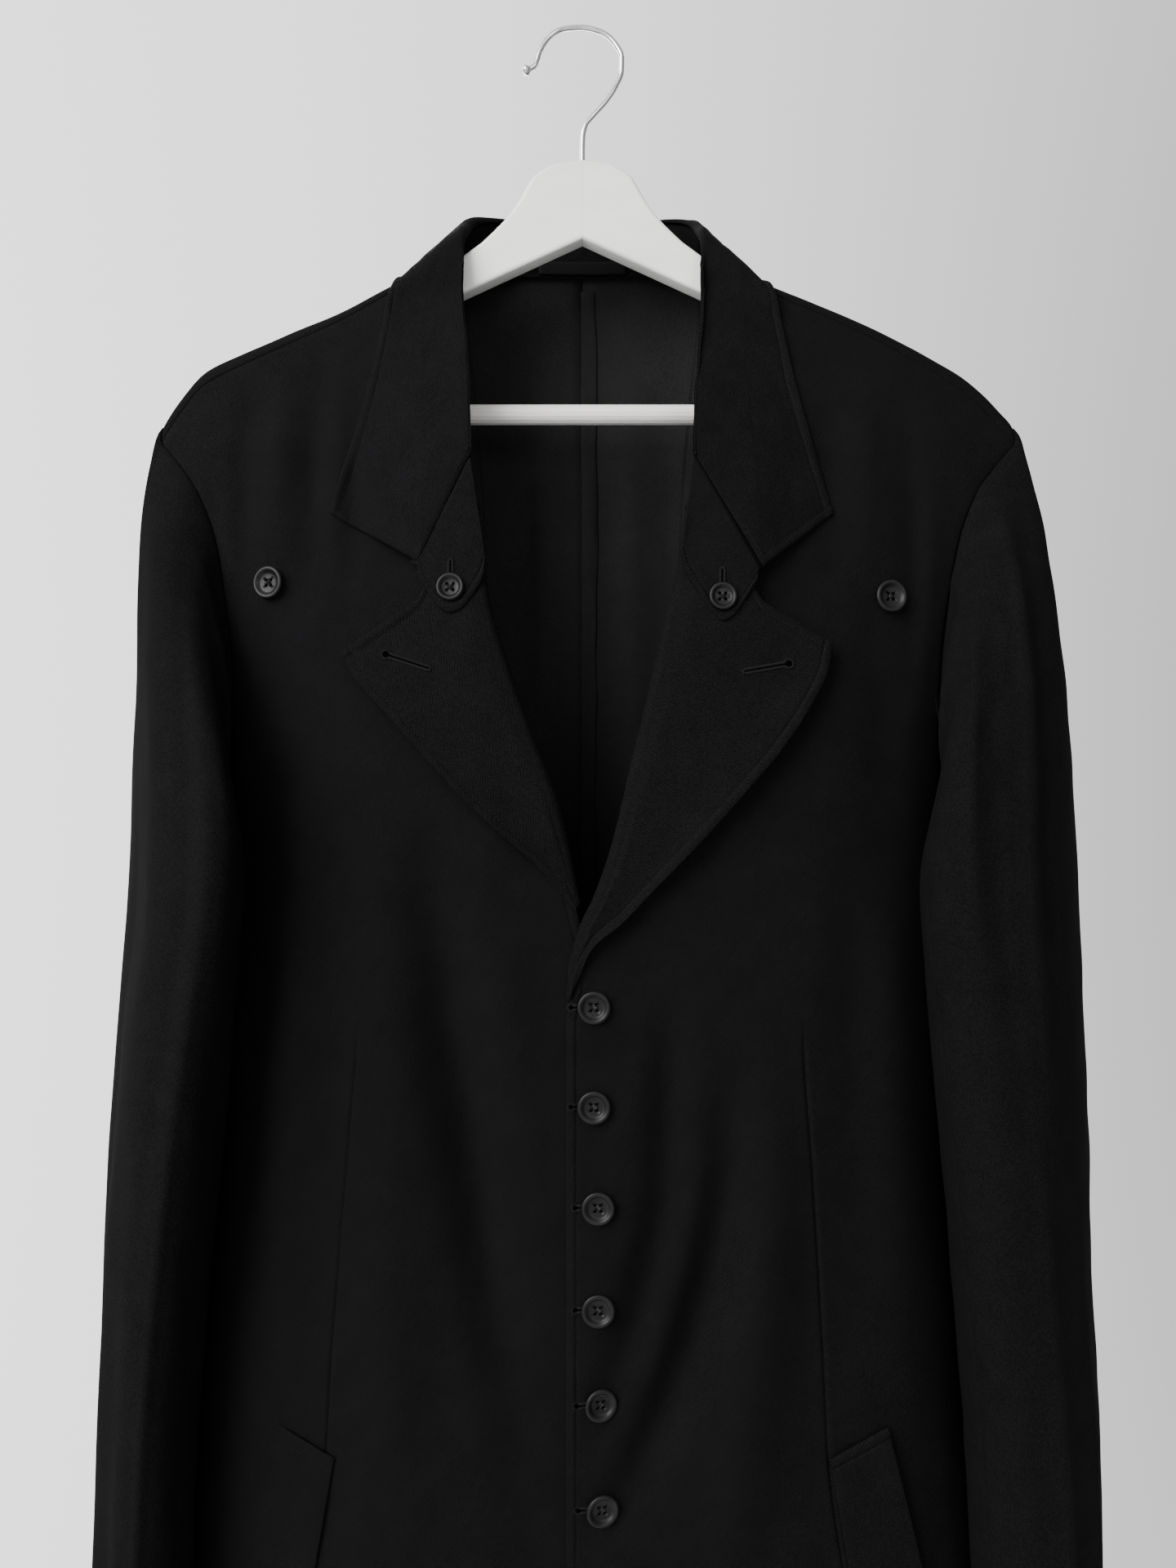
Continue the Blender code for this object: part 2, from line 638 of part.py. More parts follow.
def armhole_loop(side, turn):
    """Points round the armhole. Turn 0 is the ridge, 0.25 the front, 0.5 the underarm."""
    turn = np.mod(turn, 1.0)
    front = turn < 0.5
    share = np.where(front, turn, 1.0 - turn) * 2.0
    along = np.clip((share - LOOP_TOP) / (1.0 - LOOP_TOP), 0.0, 1.0)
    x, z = armhole_line(side, along)
    over = np.clip(share / LOOP_TOP, 0.0, 1.0)
    top_z = ridge_z(side * ARMHOLE[0][0] * (LEFT_ARMHOLE if side < 0 else 1.0))
    z = np.where(share < LOOP_TOP, top_z + (ARMHOLE[0][1] - top_z) * over ** 2, z)
    on_front = skin("front_right", side * x, z)
    on_back = skin("back_left", side * x, z)
    return np.where(front[..., None], on_front, on_back)


def armhole_normal(side, turn):
    """The body's outward normals round the armhole."""
    place = armhole_loop(side, turn)
    x, z = place[..., 0], place[..., 2]
    inward = side * 0.001
    on_front = skin_normal("front_right", x - inward, z)
    on_back = skin_normal("back_left", x - inward, z)
    return np.where((np.mod(turn, 1.0) < 0.5)[..., None], on_front, on_back)


def sleeve_ring(side, turn, z):
    """Points round the sleeve at a height."""
    rows = SLEEVES[side]
    angle = 2.0 * math.pi * turn
    x = curve(rows, 0, 1, z)
    y = curve(rows, 0, 2, z)
    long_axis = curve(rows, 0, 3, z)
    short_axis = curve(rows, 0, 4, z)
    lean = np.radians(curve(rows, 0, 5, z))
    out = short_axis * np.cos(angle)
    front = long_axis * np.sin(angle)
    ring_x = x + out * np.cos(lean) - front * np.sin(lean)
    ring_y = y - out * np.sin(lean) - front * np.cos(lean)
    return ring_x, ring_y


def clear_of_body(x, y, z, space):
    """Move a sleeve's point out of the body's section, grown by a clearance."""
    front_depth = curve(SECTIONS, 0, 2, z)
    back_depth = curve(SECTIONS, 0, 3, z)
    depth = np.where(y < 0.0, front_depth, back_depth) + space
    far = (x / (half_width(z) + space)) ** 4
    deep = (y / depth) ** 2
    inside = far + deep < 1.0
    grow = np.sqrt((np.sqrt(deep * deep + 4.0 * far) - deep) / np.maximum(2.0 * far, 1.0e-9))
    grow = np.where(inside, grow, 1.0)
    return x * grow, y * grow


def sleeve_surface(side):
    """The sleeve's outer face: turn round it, then 0 to 1 over the head, 1 to 2 down."""
    def surface(turn, down):
        turn, down = np.broadcast_arrays(turn, down)
        head = np.clip(down, 0.0, 1.0)
        start = armhole_loop(side, turn)
        ring_x, ring_y = sleeve_ring(side, turn, HEAD_Z + 0.0 * turn)
        ring_x, ring_y = clear_of_body(ring_x, ring_y, HEAD_Z + 0.0 * turn, SLEEVE_SPACE)
        end = np.stack([side * ring_x, ring_y, HEAD_Z + 0.0 * turn], axis=-1)
        angle = 2.0 * math.pi * turn
        upper = 0.5 + 0.5 * np.cos(angle)
        under = (1.0 - upper) ** 4
        start[..., 0] += side * UNDERARM_STEP * under
        leave = np.stack([side * (0.35 + 0.10 * upper + 0.55 * under), -0.60 * np.sin(angle),
                          -0.30 - 0.60 * upper], axis=-1)
        leave = leave / np.linalg.norm(leave, axis=-1, keepdims=True)
        drop = np.abs(start[..., 2] - HEAD_Z)[..., None]
        first = start + leave * (0.008 + 0.09 * drop + 0.022 * np.abs(np.sin(angle))[..., None])
        last = end + np.array((0.0, 0.0, 0.45)) * drop
        h = head[..., None]
        point = (start * (1 - h) ** 3 + 3 * first * h * (1 - h) ** 2
                 + 3 * last * h * h * (1 - h) + end * h ** 3)
        space = SLEEVE_SPACE * np.clip(10.0 * head, 0.0, 1.0)
        low = np.clip((CLEAR_FROM_Z - point[..., 2]) / (CLEAR_FROM_Z - CLEAR_FULL_Z), 0.0, 1.0)
        px, py = clear_of_body(side * point[..., 0], point[..., 1], point[..., 2], space)
        point = np.stack([point[..., 0] + low * (side * px - point[..., 0]),
                          point[..., 1] + low * (py - point[..., 1]), point[..., 2]], axis=-1)
        z = HEAD_Z + (CUFF_Z - HEAD_Z) * np.clip(down - 1.0, 0.0, 1.0)
        tube_x, tube_y = sleeve_ring(side, turn, z)
        tube_x, tube_y = clear_of_body(tube_x, tube_y, z, SLEEVE_SPACE)
        tube = np.stack([side * tube_x, tube_y, z], axis=-1)
        return np.where((down > 1.0)[..., None], tube, point)
    return surface


def build_sleeve(side, label):
    """Top and under sleeve, split at the fore and hind seams."""
    surface = sleeve_surface(side)
    downs = np.concatenate([np.linspace(0.020, 1.0, HEAD_ROWS), np.linspace(1.0, 2.0, TUBE_ROWS)[1:]])
    seam = 0.0006
    top = np.linspace(HINDSEAM - 1.0 + seam, FORESEAM - seam, TOP_COLUMNS)
    under = np.linspace(FORESEAM + seam, HINDSEAM - seam, UNDER_COLUMNS)
    for name, turns in (("sleeve_top_", top), ("sleeve_under_", under)):
        down, turn = np.meshgrid(downs, turns, indexing="ij")
        outer = surface(turn, down)
        normal = -side * surface_normal(surface, turn, down)
        body = armhole_normal(side, turns)
        agree = np.clip(np.sum(body * normal[0], axis=-1, keepdims=True) / 0.3, 0.0, 1.0)
        mitre = normal[0] * (1.0 - agree) + body * agree
        normal[0] = mitre / np.linalg.norm(mitre, axis=-1, keepdims=True)
        wall_object(name + label, outer, outer - WALL * normal, "cloth")


# Lapels, tabs, welts: layers on a front

def on_front(side, x, z, height):
    """Points at a height above a front's outer face; x is a distance from the middle."""
    panel = "front_left" if side < 0 else "front_right"
    signed = side * x
    normal = skin_normal(panel, signed, z, 1.0e-3)
    return skin(panel, signed, z) + np.asarray(height)[..., None] * normal


def layer_wall(name, side, x, z, base, fold=None, thick=WALL):
    """A cloth wall on a front, from grids of distance and height.

    fold is the outer radius with which it rolls round the front's own edge;
    those columns come before the first one.
    """
    outer = on_front(side, x, z, base + thick)
    inner = on_front(side, x, z, base)
    if fold is not None:
        panel = "front_left" if side < 0 else "front_right"
        normal = skin_normal(panel, side * x[:, 0], z[:, 0], 1.0e-3)
        tangent = np.gradient(outer[:, 0], axis=0)
        away = side * np.cross(tangent, normal)
        away = away / np.linalg.norm(away, axis=-1, keepdims=True)
        centre = outer[:, 0] - normal * fold
        turned_out, turned_in = [], []
        for angle in FOLD_ANGLES:
            ray = math.cos(angle) * normal + math.sin(angle) * away
            turned_out.append(centre + ray * fold)
            turned_in.append(centre + ray * (fold - thick))
        outer = np.concatenate([np.stack(turned_out, axis=1), outer], axis=1)
        inner = np.concatenate([np.stack(turned_in, axis=1), inner], axis=1)
    return wall_object(name, outer, inner, "cloth")


def kinked(start, corner, end, bend, shares):
    """Points on a line from start to end that turns at a corner, at share bend."""
    xs = np.interp(shares, (0.0, bend, 1.0), (start[0], corner[0], end[0]))
    zs = np.interp(shares, (0.0, bend, 1.0), (start[1], corner[1], end[1]))
    return xs, zs


def lapel_grid(side, rows, columns):
    """Distance and height of a lapel's points, from its roll line to its edge."""
    share = np.linspace(0.0, 1.0, rows)
    roll_z = LAPEL_TOP + (LAPEL_END[side] - LAPEL_TOP) * share
    near = side * front_inner(side, roll_z)
    table = LAPEL_EDGE[side]
    far_z = table[0][0] + (table[-1][0] - table[0][0]) * share
    far_x = curve(table, 0, 1, far_z)
    across = np.linspace(0.0, 1.0, columns)
    x = near[:, None] + (far_x - near)[:, None] * across[None, :]
    z = roll_z[:, None] + (far_z - roll_z)[:, None] * across[None, :]
    end = (far_x[0], far_z[0])
    kink_x, kink_z = kinked((near[0], roll_z[0]), LAPEL_NOTCH[side], end, LAPEL_BEND, across)
    fade = (np.clip(1.0 - share / 0.5, 0.0, 1.0) ** 2)[:, None]
    x = x + fade * (kink_x - x[0])[None, :]
    z = z + fade * (kink_z - z[0])[None, :]
    return x, z


def build_lapel(side, label):
    """A lapel lying on the front, rolled round its edge."""
    x, z = lapel_grid(side, 12, 7)
    layer_wall("lapel_" + label, side, x, z, LIE, LIE + 1.5 * WALL)


def build_tab(side, label):
    """The collar stand's buttoned end, lying on the lapel."""
    rows = 5
    share = np.linspace(0.0, 1.0, rows)[:, None]
    across = np.linspace(0.0, 1.0, 5)[None, :]
    notch = (COLLAR_NOTCH[side][0] - LIE, COLLAR_NOTCH[side][1] - 2.0 * LIE)
    near_z = np.array((TAB_SEAM_Z, TAB_CORNER_Z))
    near_x = side * front_inner(side, near_z)
    start_x = near_x[0] + (notch[0] - near_x[0]) * across
    start_z = near_z[0] + (notch[1] - near_z[0]) * across
    end_x = near_x[1] + (TAB_TIP[side][0] - near_x[1]) * across
    end_z = near_z[1] + (TAB_TIP[side][1] - near_z[1]) * across
    x = start_x + (end_x - start_x) * share
    z = start_z + (end_z - start_z) * share
    x[:, 0] = side * front_inner(side, z[:, 0])
    base = 2.0 * LIE + WALL
    layer_wall("tab_" + label, side, x, z, base, base + 1.5 * WALL)


def build_welt(side, label):
    """The slanted welt over the pocket's mouth."""
    share = np.linspace(0.0, 1.0, 7)[:, None]
    across = np.linspace(0.0, 1.0, 4)[None, :]
    corners = [np.array(corner) for corner in (WELT_TOP_IN, WELT_TOP_OUT, WELT_LOW_IN, WELT_LOW_OUT)]
    top_in, top_out, low_in, low_out = corners
    grid = ((top_in * (1 - share[..., None]) + low_in * share[..., None]) * (1 - across[..., None])
            + (top_out * (1 - share[..., None]) + low_out * share[..., None]) * across[..., None])
    layer_wall("welt_" + label, side, grid[..., 0], grid[..., 1], LIE)


# Collar

def collar_frame(station):
    """Roll point, edge point and the fold's two directions, for the right half."""
    rows = [(i,) + row for i, row in enumerate(COLLAR)]
    roll = np.stack([curve(rows, 0, k, station) for k in (1, 2, 3)], axis=-1)
    edge = np.stack([curve(rows, 0, k, station) for k in (4, 5, 6)], axis=-1)
    lean = np.radians(curve(rows, 0, 7, station))
    step = 0.02
    ahead = np.stack([curve(rows, 0, k, station + step) for k in (1, 2, 3)], axis=-1)
    behind = np.stack([curve(rows, 0, k, station - step) for k in (1, 2, 3)], axis=-1)
    ring = ahead - behind
    up = np.stack([-np.sin(lean), 0.0 * lean, np.cos(lean)], axis=-1)
    out = np.cross(up, ring)
    out = out / np.linalg.norm(out, axis=-1, keepdims=True)
    return roll, edge, up, out


def halves(station, build):
    """Evaluate a right-half function at signed stations, mirroring the left ones."""
    sign = np.where(station < 0.0, -1.0, 1.0)
    points = build(np.abs(station), sign)
    return points * np.stack([sign, 1.0 + 0.0 * sign, 1.0 + 0.0 * sign], axis=-1)


def fall_points(station, across, sign):
    """The collar fall's outer face, right half: across runs from inside the fold to the edge."""
    roll, edge, up, out = collar_frame(station)
    centre = roll - up * COLLAR_FOLD
    angle = np.radians(-88.0 + 136.0 * np.clip(across / FOLD_SHARE, 0.0, 1.0))[..., None]
    folded = centre + COLLAR_FOLD * (np.cos(angle) * up + np.sin(angle) * out)
    leave = np.radians(48.0)
    shoulder = centre + COLLAR_FOLD * (math.cos(leave) * up + math.sin(leave) * out)
    flat = np.clip((across - FOLD_SHARE) / (1.0 - FOLD_SHARE), 0.0, 1.0)[..., None]
    front = np.clip(station - 4.0, 0.0, 1.0)[..., None]
    bulge = COLLAR_BULGE * (1.0 - 0.6 * front)
    spread_out = shoulder + (edge - shoulder) * flat + out * bulge * np.sin(math.pi * flat) ** 0.8
    point = np.where((across <= FOLD_SHARE)[..., None], folded, spread_out)
    last = len(COLLAR) - 1.0
    fade = np.clip((station - 6.0) / (last - 6.0), 0.0, 1.0) ** 2
    straight = np.clip(flat[..., 0], 0.0, 1.0)
    left, right = COLLAR_NOTCH[-1], COLLAR_NOTCH[1]
    seam = (COLLAR[-1][0], COLLAR[-1][2])
    end = (COLLAR[-1][3], COLLAR[-1][5])
    left_x, left_z = kinked(seam, left, end, COLLAR_BEND, straight)
    right_x, right_z = kinked(seam, right, end, COLLAR_BEND, straight)
    line_x = seam[0] + (end[0] - seam[0]) * straight
    line_z = seam[1] + (end[1] - seam[1]) * straight
    point[..., 0] += fade * (np.where(sign < 0.0, left_x, right_x) - line_x)
    point[..., 2] += fade * (np.where(sign < 0.0, left_z, right_z) - line_z)
    return point


def fall_surface(station, across):
    """The collar fall, kept clear of the body beneath it."""
    point = halves(station, lambda far, sign: fall_points(far, across, sign))
    near_seam = np.clip((np.abs(station) - 6.5) / 2.0, 0.0, 1.0)
    flat = np.clip((across - FOLD_SHARE) / (1.0 - FOLD_SHARE), 0.0, 1.0)
    over_ridge = RIDGE_LIFT * np.exp(-(point[..., 1] / RIDGE_SPREAD) ** 2)
    over_tab = (LIE + WALL) * near_seam * np.clip(1.0 - 1.4 * flat, 0.0, 1.0)
    lift = LIE + WALL + over_ridge + over_tab
    x, y, z = point[..., 0], point[..., 1], point[..., 2]
    resting = across > 0.5 * FOLD_SHARE
    top_z = ridge_z(x) + lift
    half = RIDGE_HALF + lift
    crown = 1.0 - np.minimum(np.abs(y) / half, 1.0) ** RIDGE_POWER
    crown_z = top_z - (RIDGE_RISE + lift) * (1.0 - crown ** (1.0 / RIDGE_POWER))
    over = resting & (np.abs(y) < half) & (np.abs(x) > BACK_NECK[-1][1])
    z = np.where(over, np.maximum(z, crown_z), z)
    low = resting & (np.abs(y) >= half) & (z < top_z)
    front = np.where(x < 0.0, half_depth("front_left", x, z - lift), half_depth("front_right", x, z - lift))
    back = np.where(x < 0.0, half_depth("back_left", x, z - lift), half_depth("back_right", x, z - lift))
    lying = np.abs(station) > 6.0
    y_front = np.where(lying, -(front + lift), np.minimum(y, -(front + lift)))
    y = np.where(low & (y < 0.0), y_front, y)
    y = np.where(low & (y > 0.0), np.maximum(y, back + lift), y)
    return np.stack([x, y, z], axis=-1)


def stand_surface(station, across):
    """The stand's inner face, from the neck seam up to the fall's fold."""
    def half(far, sign):
        roll, edge, up, out = collar_frame(far)
        top = roll - up * COLLAR_FOLD * 1.10 - out * (COLLAR_FOLD - WALL)
        neck_x = curve(BACK_NECK, 0, 1, far)
        neck_z = curve(BACK_NECK, 0, 2, far)
        neck = skin("back_right", neck_x, neck_z)
        low = neck + up * 5.0 * GAP
        return low + (top - low) * across[..., None]
    return halves(station, half)


def build_collar():
    """Fall and stand."""
    far = np.array(FALL_STATIONS)
    stations = np.concatenate([-far[:0:-1], far])
    across = np.concatenate([np.linspace(0.0, FOLD_SHARE, 4), np.linspace(FOLD_SHARE, 1.0, 5)[1:]])
    surface_wall("collar_fall", fall_surface, stations, across, "cloth")
    stations = np.linspace(-STAND_END, STAND_END, 17)
    surface_wall("collar_stand", stand_surface, stations, np.linspace(0.0, 1.0, 3), "cloth")


# Inside the neck

def inside_back(station, down, depth):
    """Points inside the back, below the neckline by a distance, set in by a depth."""
    def half(far, sign):
        x = curve(BACK_NECK, 0, 1, far)
        z = curve(BACK_NECK, 0, 2, far) - down
        return skin("back_right", x, z) - depth * skin_normal("back_right", x, z)
    return halves(station, half)


def build_inside():
    """Back-neck facing and the bare label on the stand's foot."""
    surface_wall("neck_facing", lambda s, d: inside_back(s, d, FACING_IN),
                 np.linspace(-1.8, 1.8, 9), np.linspace(0.0008, FACING_DEEP, 3), "cloth",
                 thick=FACING_WALL)
    surface_wall("label", lambda s, d: inside_back(s, d, FACING_IN + FACING_WALL + GAP),
                 np.linspace(-0.9, 0.9, 5), np.linspace(LABEL_DROP, LABEL_DROP + LABEL_DEEP, 3), "label",
                 thick=LABEL_WALL)


# Buttons

def build_buttons():
    """Turned four-hole buttons with a raised rim, each square to its cloth."""
    for name, x, z, size, height in BUTTONS:
        radius = 0.5 * size
        mesh = bmesh.new()
        points = [mesh.verts.new((radius * r, 0.0, BUTTON_THICK * h)) for r, h in BUTTON_PROFILE]
        for first, second in zip(points, points[1:]):
            mesh.edges.new((first, second))
        data = bpy.data.meshes.new(name)
        mesh.to_mesh(data)
        mesh.free()
        button = bpy.data.objects.new(name, data)
        screw = button.modifiers.new("turned", "SCREW")
        screw.axis = "Z"
        screw.steps = BUTTON_SIDES
        screw.render_steps = BUTTON_SIDES
        screw.use_merge_vertices = True
        screw.merge_threshold = 0.00002
        screw.use_normal_calculate = True
        side = -1 if x < 0.0 else 1
        panel = "front_left" if side < 0 else "front_right"
        place = np.array((x, z))
        normal = skin_normal(panel, place[:1], place[1:], 2.0e-3)[0]
        foot = skin(panel, place[:1], place[1:])[0] + normal * height
        button.location = Vector(foot)
        button.rotation_mode = "QUATERNION"
        button.rotation_quaternion = Vector(normal).to_track_quat("Z", "Y")
        finish(button, "button")


# Hanger

def hanger_outline():
    """The hanger's right outline, from the top of its head round to the apex below."""
    points = list(HEAD)
    for x in ARM_STATIONS:
        points.append((x, float(min(ridge_z(x), ridge_z(-x))) - WALL - HANGER_CLEAR))
    points.append((HANGER_LOW, END_Z + 0.010))
    points.append((HANGER_LOW - 0.006, END_Z))
    points.append((ARM_FOOT, END_Z))
    points.append((ARM_FOOT, APEX_Z - UNDER_SLOPE * ARM_FOOT))
    points.append((0.0, APEX_Z))
    return points


def build_hanger():
    """Flat wooden body, trouser bar and wire hook."""
    right = hanger_outline()
    left = [(-x, z) for x, z in reversed(right[1:-1])]
    outline = right + left
    path = bpy.data.curves.new("hanger", "CURVE")
    path.dimensions = "2D"
    path.fill_mode = "BOTH"
    path.extrude = 0.5 * HANGER_THICK - HANGER_EDGE
    path.bevel_depth = HANGER_EDGE
    path.bevel_resolution = 1
    path.offset = -HANGER_EDGE
    spline = path.splines.new("POLY")
    spline.points.add(len(outline) - 1)
    for point, (x, z) in zip(spline.points, outline):
        point.co = (x, z, 0.0, 1.0)
    spline.use_cyclic_u = True
    body = bpy.data.objects.new("hanger", path)
    body.rotation_euler = (math.radians(90.0), 0.0, 0.0)
    COAT.objects.link(body)
    finish(body, "painted_wood")
    build_bar()
    build_hook()


def build_bar():
    """The round trouser bar between the arm ends."""
    bpy.ops.mesh.primitive_cylinder_add(vertices=16, radius=BAR_RADIUS, depth=2.0 * BAR_HALF,
                                        location=(0.0, 0.0, BAR_Z), rotation=(0.0, math.radians(90.0), 0.0))
    bar = bpy.context.object
    bar.name = "hanger_bar"
    bar.data.name = "hanger_bar"
    for owner in list(bar.users_collection):
        owner.objects.unlink(bar)
    finish(bar, "bar_paint")


def build_hook():
    """Bent wire with a ball tip."""
    path = bpy.data.curves.new("hanger_hook", "CURVE")
    path.dimensions = "3D"
    path.bevel_depth = HOOK_RADIUS
    path.bevel_resolution = 2
    path.use_fill_caps = True
    spline = path.splines.new("POLY")
    points = hook_route()
    spline.points.add(len(points) - 1)
    for point, (x, z) in zip(spline.points, points):
        point.co = (x, 0.0, z, 1.0)
    hook = bpy.data.objects.new("hanger_hook", path)
    COAT.objects.link(hook)
    finish(hook, "chrome")


def hook_route():
    """A smooth route through the hook's own points."""
    count = len(HOOK)
    rows = [(i, x, z) for i, (x, z) in enumerate(HOOK)]
    steps = np.linspace(0.0, count - 1.0, 2 * count - 1)
    xs = curve(rows, 0, 1, steps)
    zs = curve(rows, 0, 2, steps)
    return list(zip(xs.tolist(), zs.tolist()))


def main():
    """Build every piece of the coat and its hanger."""
    make_materials()
    for side, label in SIDES:
        build_front(side, label)
        build_back(side, label)
        build_sleeve(side, label)
        build_lapel(side, label)
        build_tab(side, label)
        build_welt(side, label)
    build_collar()
    build_inside()
    build_buttons()
    build_hanger()


for thing in list(bpy.data.objects):
    bpy.data.objects.remove(thing, do_unlink=True)
COAT = bpy.data.collections.new("long_tailored_coat")
bpy.context.scene.collection.children.link(COAT)
main()
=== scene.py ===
"""The look of a long tailored coat on a hanger: cloth, sewing, buttons, hanger, light, camera."""
import math

import bmesh
import bpy
import numpy as np
from mathutils import Matrix, Vector


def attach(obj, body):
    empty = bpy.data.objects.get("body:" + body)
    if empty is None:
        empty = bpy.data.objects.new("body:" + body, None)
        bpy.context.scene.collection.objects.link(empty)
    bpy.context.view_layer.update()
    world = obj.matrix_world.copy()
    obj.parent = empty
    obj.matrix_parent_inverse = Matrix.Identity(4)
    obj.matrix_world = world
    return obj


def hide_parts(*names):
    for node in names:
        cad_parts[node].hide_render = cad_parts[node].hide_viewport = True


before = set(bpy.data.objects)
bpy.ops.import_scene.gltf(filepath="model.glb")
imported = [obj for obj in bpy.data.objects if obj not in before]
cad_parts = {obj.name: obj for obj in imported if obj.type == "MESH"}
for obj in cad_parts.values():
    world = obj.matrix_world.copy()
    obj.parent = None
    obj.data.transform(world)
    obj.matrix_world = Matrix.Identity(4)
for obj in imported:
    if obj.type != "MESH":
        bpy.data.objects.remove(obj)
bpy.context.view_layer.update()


def mm(rows, plain=()):
    """A table in metres from one in millimetres; its plain columns are no lengths."""
    return tuple(tuple(cell if k in plain else 0.001 * cell for k, cell in enumerate(row)) for row in rows)


# Camera of the photograph, metres and pixels
CAMERA_PLACE = (0.0033, -0.700, -0.4395)
FOCAL_PX = 1470.0
IMAGE_HEIGHT = 1920

# Cloth, in metres
WALL = 0.0018
TWILL = 0.00095
HEM_Z = -1.270
CUFF_Z = -0.912
FLOOR_Z = -1.420
FLOOR_RADIUS = 0.720
BREAK_Z = {-1: -0.5640, 1: -0.5440}
LABELS = {-1: "left", 1: "right"}
RIDGE_HALF = 0.0115
RIDGE_RISE = 0.0080
RIDGE_POWER = 3.0
SLOPE_DROP = 0.340
SIDE_POWER = 4.0
TUCK_START, TUCK_END = -0.060, -0.014
TUCK_BELOW = 0.0033
NECK_REACH = 0.085

# Tables in millimetres, single values in metres

# Heights count from the inside top of the hook, distances from the middle.
# Shoulder seam below the ridge: distance, drop
SEAM_DROP = mm((
    (74, 0.6), (90, 5), (110, 7.2), (255, 12),
))
# Shoulder ridge: distance, height at the left, at the right
RIDGE = mm((
    (60, -128.8, -128.8), (73.6, -134, -134), (109.2, -150.8, -151.8), (135.4, -164.5, -162),
    (168.6, -178.5, -176.3), (197.7, -190.9, -191.4), (216.8, -200.4, -202.7), (230.6, -215.9, -213.8),
    (240.1, -229.5, -224), (249.1, -247.2, -233.4), (258.4, -271.9, -249.2),
))
# Body sections: height, half width, depth of the front, depth of the back
SECTIONS = mm((
    (-100, 340, 60, 52), (-235, 310, 60, 52), (-290, 268, 60, 52.5), (-340, 238, 60, 53),
    (-420, 216, 60, 54.5), (-500, 208, 60, 55), (-620, 208, 60, 55), (-750, 218, 62, 59),
    (-860, 228, 64, 64), (-1050, 245, 72, 74), (-1270, 268, 84, 88),
))
# Armhole from the shoulder seam down: distance, height
ARMHOLE = mm((
    (248.8, -244), (236.5, -257), (222.5, -276), (211.4, -302.3), (205, -335), (200.5, -370), (199, -405),
    (201, -437),
))
UNDERARM_Z = -0.462
LEFT_ARMHOLE = 0.972    # the left armhole's distance as a share of the right one's
# Roll line, then the front's edge: height, distance at the left, at the right
ROLL = mm((
    (-128, 67.2, 64), (-148, 68, 66.4), (-169, 67.5, 66.9), (-200, 64, 63.6), (-230, 61.8, 61.3),
    (-260, 59.2, 60.2), (-290, 56.5, 57.2), (-320, 53.3, 52.8), (-350, 48.6, 46.2), (-385, 37.5, 38.8),
    (-414, 27.1, 31.6), (-448, 14.6, 23.1), (-478, 6, 15.5), (-503, -0.2, 6.5), (-518, -4, -1.2),
    (-544, -14, -8.3), (-564, -23.3, -8.3),
))
# The fronts' cut edge outside the roll line: height, margin
NECK_MARGIN = mm((
    (-564, 0), (-544, 3.6), (-270, 4), (-190, 6), (-140, 7.5),
))
# Lapel edge from its point down: height, distance
LAPEL_TOP = -0.287
LAPEL_EDGE = {
    -1: mm((
        (-368.8, 129.3), (-383.9, 120.5), (-404.2, 102), (-424.3, 83.9), (-446.4, 63.4), (-466.4, 43.1),
        (-485.1, 22.3), (-509.5, 2),
    )),
    1: mm((
        (-364.7, 133.9), (-381.2, 130), (-398, 121.3), (-423, 104.2), (-442.5, 87.4), (-470.2, 62.6),
        (-492.7, 40.9), (-512.6, 21.9), (-526.9, 5.5), (-545.9, -2.8), (-554, -6.6),
    )),
}
LAPEL_END = {-1: -0.5060, 1: -0.5540}
LAPEL_BEND = 0.50
LAPEL_NOTCH = {-1: (0.0879, -0.3409), 1: (0.0967, -0.3421)}
# Height of a lapel over its front: share from roll to edge, left, right
LAPEL_LIFT = mm((
    (0.0, 3.4, 4), (0.12, 4, 5.2), (0.4, 2.8, 4.6), (0.75, 1.8, 3.6), (1.0, 2.2, 4.6),
), plain=(0,))
# Collar, centre back to front end: roll x, y, z, edge x, y, z, lean of the stand in degrees
COLLAR = mm((
    (0, 50.5, -88.5, 0, 61.5, -140, 0.0), (28, 49.2, -88.7, 40, 59, -140.2, 0.0),
    (51, 43, -90, 74.5, 45, -142.5, 5.0), (64, 26, -97.5, 96, 23.5, -146.2, 15.0),
    (67.6, 8, -109.5, 107, 3, -149, 25.0), (67.4, -12, -127.5, 110.2, -19, -160, 55.0),
    (67.4, -15.5, -156, 113.5, -31, -179, 80.0), (64.5, -26, -195, 119.3, -39, -211.5, 90.0),
    (61.6, -34, -230, 128.3, -45, -250.5, 90.0), (60.2, -39, -262, 139, -50, -290.5, 90.0),
), plain=(6,))
COLLAR_NOTCH = {-1: (0.0874, -0.3205), 1: (0.0967, -0.3235)}
COLLAR_BEND = 0.50
COLLAR_FOLD = 0.0036
COLLAR_WALL = 0.0013
COLLAR_BULGE = 0.0016
STAND_TUCK = 0.0055     # how far the stand reaches down inside the back
RIDGE_LIFT = 0.0002
FOLD_SHARE = 0.22
# Soft creases across the collar: station, width in stations, depth
COLLAR_CREASES = mm((
    (-7.4, 0.2, 0.4), (-6.5, 0.26, -0.4), (5.6, 0.16, -0.8), (6.2, 0.16, 1.2), (6.8, 0.18, -1.2),
    (7.7, 0.2, 1),
), plain=(0, 1))
